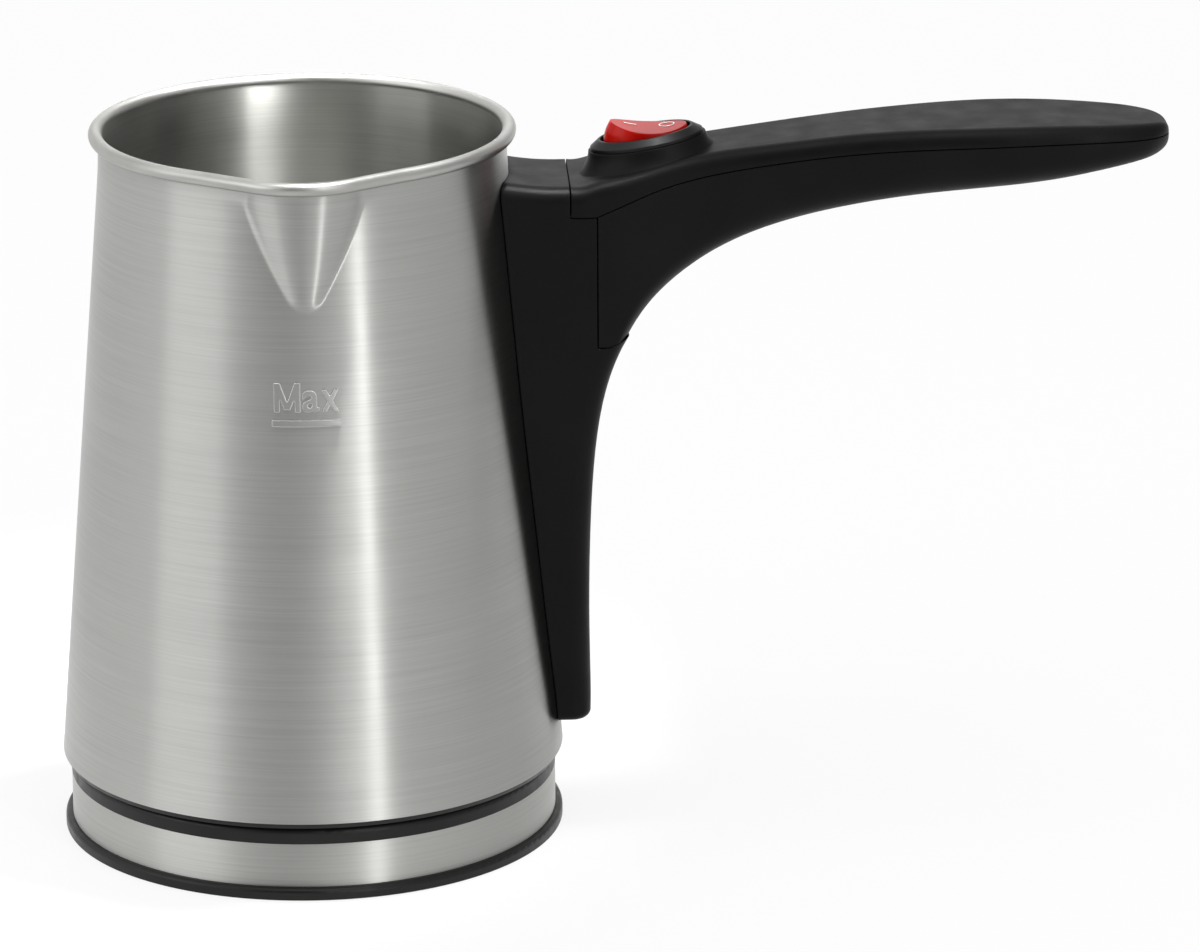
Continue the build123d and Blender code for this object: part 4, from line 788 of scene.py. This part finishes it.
grip_screw = recessed_screw(head_radius=2.7 * MM, head_height=2.0 * MM,
                            shank_radius=1.4 * MM, shank_length=6.6 * MM,
                            pitch=1.0 * MM)
grip_screw_places = (((104 * MM, 0, 130.429 * MM), 0.4),
                     ((152 * MM, 0, 137.2 * MM), 1.0))
set_screws(grip_screw, grip_screw_places, "grip_screws_cross", "grip_screws", "pot")

# ---- Switch housing ----
# Dark grey moulding that snaps into the upper shell; its oval rim is the bezel
# round the rocker.
bezel_grey = finish("bezel_grey", (0.008, 0.008, 0.0082), 0.36)
settle(bezel_grey, Specular_IOR_Level=0.17)
soften(bezel_grey, 0.3 * MM)
tint(bezel_grey, grain(bezel_grey, (90, 90, 90), 3.0), (0.0065, 0.0065, 0.0067),
     (0.0100, 0.0100, 0.0102))
vary(bezel_grey, "Roughness", grain(bezel_grey, (400, 400, 400), 3.0), 0.28, 0.42)
emboss(bezel_grey, grain(bezel_grey, (2100, 2100, 2100)), 0.3, 0.025 * MM)
dress(bezel_grey, "switch_housing")

# ---- Rocker ----
# Clear red plastic with a high gloss, dished along its length. A glow lamp sits
# under it. The marks for on and off are printed in white.
rocker_red = finish("rocker_red", (0.32, 0.0025, 0.0006), 0.11)
settle(rocker_red, Specular_IOR_Level=0.14)
soften(rocker_red, 0.35 * MM)
tint(rocker_red, grain(rocker_red, (140, 140, 140), 2.0), (0.28, 0.0018, 0.0004),
     (0.37, 0.0038, 0.0010))
vary(rocker_red, "Roughness", grain(rocker_red, (300, 300, 300), 3.0), 0.08, 0.15)
dress(rocker_red, "switch_rocker")

# Sizes in millimetres: where the rocker turns, and the dish in its top.
switch_x = 70.0
switch_z = 144.1
switch_lean = math.radians(9.7)
pivot_depth = 0.6
rocker_rest = math.radians(12.0)
dish_half = 9.0
dish_end = 5.0
dish_middle = 3.25
dish_sag = dish_end - dish_middle
dish_radius = (dish_half ** 2 + dish_sag ** 2) / (2 * dish_sag)
pivot = np.array([switch_x + pivot_depth * math.sin(switch_lean), 0.0,
                  switch_z - pivot_depth * math.cos(switch_lean)])
rocker_lean = switch_lean - rocker_rest
rocker_along = np.array([math.cos(rocker_lean), 0.0, math.sin(rocker_lean)])
rocker_side = np.array([0.0, 1.0, 0.0])
rocker_up = np.array([-math.sin(rocker_lean), 0.0, math.cos(rocker_lean)])
print_lift = 0.07


def slice_upright(piece, low, high, step):
    """Cut new edges in a flat piece so that it can be bent."""
    pick(piece)
    bpy.ops.object.mode_set(mode="EDIT")
    place = low
    while place < high:
        bpy.ops.mesh.select_all(action="SELECT")
        bpy.ops.mesh.bisect(plane_co=(place, 0, 0), plane_no=(1, 0, 0))
        place += step
    bpy.ops.object.mode_set(mode="OBJECT")


def print_on_rocker(piece):
    """Lay a flat print, drawn in x and y round the pivot, on the rocker's dish."""
    flat = read_points(piece)
    dish = dish_middle + dish_radius - np.sqrt(dish_radius ** 2 - flat[:, 0] ** 2)
    rise = dish + flat[:, 2] + print_lift
    laid = (pivot + flat[:, :1] * rocker_along + flat[:, 1:2] * rocker_side
            + rise[:, None] * rocker_up)
    write_points(piece, laid * MM)


mark_side = 1.5
ring_place = 3.9
ring_radius = 1.5
ring_line = 0.125
ring_flatness = 0.7
dash_place = -3.6
dash_size = (2.65, 0.32, 0.17)
dash_rounding = 0.035
dash_cuts = (-4.6, -2.4, 0.4)
bpy.ops.mesh.primitive_torus_add(major_segments=48, minor_segments=10,
                                 major_radius=ring_radius, minor_radius=ring_line,
                                 location=(ring_place, mark_side, 0.0))
off_mark = bpy.context.object
off_mark.scale = (1.0, 1.0, ring_flatness)
settle_place(off_mark)
bpy.ops.mesh.primitive_cube_add(size=1, location=(dash_place, mark_side, 0.0))
on_mark = bpy.context.object
on_mark.scale = dash_size
settle_place(on_mark)
rounding = on_mark.modifiers.new("rounding", "BEVEL")
rounding.width = dash_rounding
rounding.segments = 2
apply_all(on_mark)
slice_upright(on_mark, *dash_cuts)
print_marks = join([off_mark, on_mark], "rocker_marks")
print_on_rocker(print_marks)
face_outwards(print_marks, 40)
white_print = finish("white_print", (0.80, 0.78, 0.76), 0.4)
tint(white_print, grain(white_print, (900, 900, 900), 2.0), (0.74, 0.71, 0.69),
     (0.86, 0.84, 0.82))
print_marks.data.materials.clear()
print_marks.data.materials.append(white_print)
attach(print_marks, "rocker")

# ---- Glow lamp ----
# Small blown glass bulb with warm tinted glass, held under the rocker by its
# wires. It is lit while the pot heats.
bulb_glass = finish("bulb_glass", (0.90, 0.62, 0.42), 0.08)
settle(bulb_glass, Transmission_Weight=0.6, IOR=1.48)
tint(bulb_glass, grain(bulb_glass, (300, 300, 300), 2.0), (0.86, 0.55, 0.36),
     (0.95, 0.70, 0.50))
dress(bulb_glass, "switch_lamp")

# ---- Camera ----
# Stands in front of the spout and above the rim, looks down on the pot and has a
# long lens, so that upright lines stay nearly upright.
camera_place = (0.0, -1.32446, 0.48982)
camera_turn = math.radians(-2.6)
camera_tilt = math.radians(90 - 17.468)
camera_roll = math.radians(-0.288)
camera_data = bpy.data.cameras.new("camera")
camera = bpy.data.objects.new("camera", camera_data)
bpy.context.scene.collection.objects.link(camera)
bpy.context.scene.camera = camera
camera_data.sensor_width = 36.0
camera_data.lens = 201.755
camera_data.clip_start = 0.05
camera_data.clip_end = 20.0
camera.location = camera_place
aim = Matrix.Rotation(camera_turn, 4, "Z")
aim = aim @ Matrix.Rotation(camera_tilt, 4, "X")
aim = aim @ Matrix.Rotation(camera_roll, 4, "Z")
camera.rotation_mode = "QUATERNION"
camera.rotation_quaternion = aim.to_quaternion()

# ---- Floor ----
# Plain white studio floor that shows white to the camera and in the metal, and
# keeps the object's soft shadow.
floor_size = 12.0
floor_gap = 0.1 * MM
floor_glow = 0.84
bpy.ops.mesh.primitive_plane_add(size=floor_size, location=(0, 0, -floor_gap))
floor = bpy.context.object
floor.name = "floor"
floor_white = finish("floor_white", (0.88, 0.88, 0.88), 0.6)
tree = floor_white.node_tree
path = tree.nodes.new("ShaderNodeLightPath")
glow = tree.nodes.new("ShaderNodeEmission")
glow.inputs["Color"].default_value = (1, 1, 1, 1)
seen = tree.nodes.new("ShaderNodeMath")
seen.operation = "MAXIMUM"
seen_through = tree.nodes.new("ShaderNodeMath")
seen_through.operation = "MAXIMUM"
share = tree.nodes.new("ShaderNodeMath")
share.operation = "MULTIPLY"
share.inputs[1].default_value = floor_glow
mix = tree.nodes.new("ShaderNodeMixShader")
tree.links.new(path.outputs["Is Camera Ray"], seen.inputs[0])
tree.links.new(path.outputs["Is Glossy Ray"], seen.inputs[1])
tree.links.new(seen.outputs[0], seen_through.inputs[0])
tree.links.new(path.outputs["Is Transmission Ray"], seen_through.inputs[1])
tree.links.new(seen_through.outputs[0], share.inputs[0])
tree.links.new(share.outputs[0], mix.inputs["Fac"])
tree.links.new(tree.nodes["Principled BSDF"].outputs[0], mix.inputs[1])
tree.links.new(glow.outputs[0], mix.inputs[2])
tree.links.new(mix.outputs[0], tree.nodes["Material Output"].inputs["Surface"])
floor.data.materials.append(floor_white)

# ---- Studio light ----
# Pale room, brighter on the left and dark just left of the camera, with soft
# boxes on the left and above, a tall narrow strip on the right and a small bar
# over the pot that shines on the inside of its back.

aim_height = 0.08


def softbox(name, azimuth, elevation, distance, width, height, power):
    """Rectangular studio lamp, its bearing in degrees, aimed at the pot's middle."""
    data = bpy.data.lights.new(name, "AREA")
    data.shape = "RECTANGLE"
    data.size = width
    data.size_y = height
    data.energy = power
    lamp = bpy.data.objects.new(name, data)
    bpy.context.scene.collection.objects.link(lamp)
    turn = math.radians(azimuth)
    lift = math.radians(elevation)
    way = Vector((math.sin(turn) * math.cos(lift), -math.cos(turn) * math.cos(lift),
                  math.sin(lift)))
    lamp.location = Vector((0, 0, aim_height)) + way * distance
    lamp.rotation_mode = "QUATERNION"
    lamp.rotation_quaternion = (-way).to_track_quat("-Z", "Y")
    return lamp


softbox("strip_right", azimuth=29.5, elevation=27, distance=2.6, width=0.10,
        height=2.7, power=13.3)
softbox("box_left", azimuth=-62, elevation=24, distance=2.4, width=1.5, height=1.5,
        power=9.5)
softbox("box_top", azimuth=20, elevation=80, distance=2.2, width=1.4, height=1.4,
        power=14)

bar_place = (0.074, 0.012, 0.55)
bar_lean = (math.radians(4.1), math.radians(10.9), 0)
bar_beam = math.radians(24)
bar_over_pot = softbox("bar_over_pot", azimuth=0, elevation=90, distance=0.5,
                       width=0.012, height=0.10, power=0.24)
bar_over_pot.location = bar_place
bar_over_pot.rotation_mode = "XYZ"
bar_over_pot.rotation_euler = bar_lean
bar_over_pot.data.spread = bar_beam

world = bpy.data.worlds.new("studio")
bpy.context.scene.world = world
world.use_nodes = True
tree = world.node_tree
background = tree.nodes["Background"]
place = tree.nodes.new("ShaderNodeTexCoord")
split = tree.nodes.new("ShaderNodeSeparateXYZ")
away = tree.nodes.new("ShaderNodeMath")
away.operation = "MULTIPLY"
away.inputs[1].default_value = -1.0
bearing = tree.nodes.new("ShaderNodeMath")
bearing.operation = "ARCTAN2"
level = tree.nodes.new("ShaderNodeMapRange")
level.inputs["From Min"].default_value = -math.pi
level.inputs["From Max"].default_value = math.pi
ramp = tree.nodes.new("ShaderNodeValToRGB")
# Brightness of the room round the pot: bearing in degrees from the camera, level.
wall_levels = (
    (-180, 1.00), (-160, 0.90), (-146, 0.78), (-110, 1.00), (-88, 1.15),
    (-67, 0.98), (-41, 0.78), (-27, 0.28), (-14, 0.05), (-7, 0.03), (2, 0.26),
    (12, 0.60), (24, 0.66), (42, 0.80), (61, 0.70), (90, 0.50), (109, 0.36),
    (150, 0.70), (180, 1.00),
)
stops = ramp.color_ramp.elements
for number, (azimuth, light) in enumerate(wall_levels):
    position = (azimuth + 180) / 360
    if number == 0:
        stop = stops[0]
        stop.position = position
    elif number == len(wall_levels) - 1:
        stop = stops[len(stops) - 1]
        stop.position = position
    else:
        stop = stops.new(position)
    stop.color = (light, light, light, 1)
tree.links.new(place.outputs["Generated"], split.inputs["Vector"])
tree.links.new(split.outputs["Y"], away.inputs[0])
tree.links.new(split.outputs["X"], bearing.inputs[0])
tree.links.new(away.outputs[0], bearing.inputs[1])
tree.links.new(bearing.outputs[0], level.inputs["Value"])
tree.links.new(level.outputs["Result"], ramp.inputs["Fac"])
tree.links.new(ramp.outputs["Color"], background.inputs["Color"])
background.inputs["Strength"].default_value = 1.0

bpy.context.scene.view_settings.view_transform = "Standard"
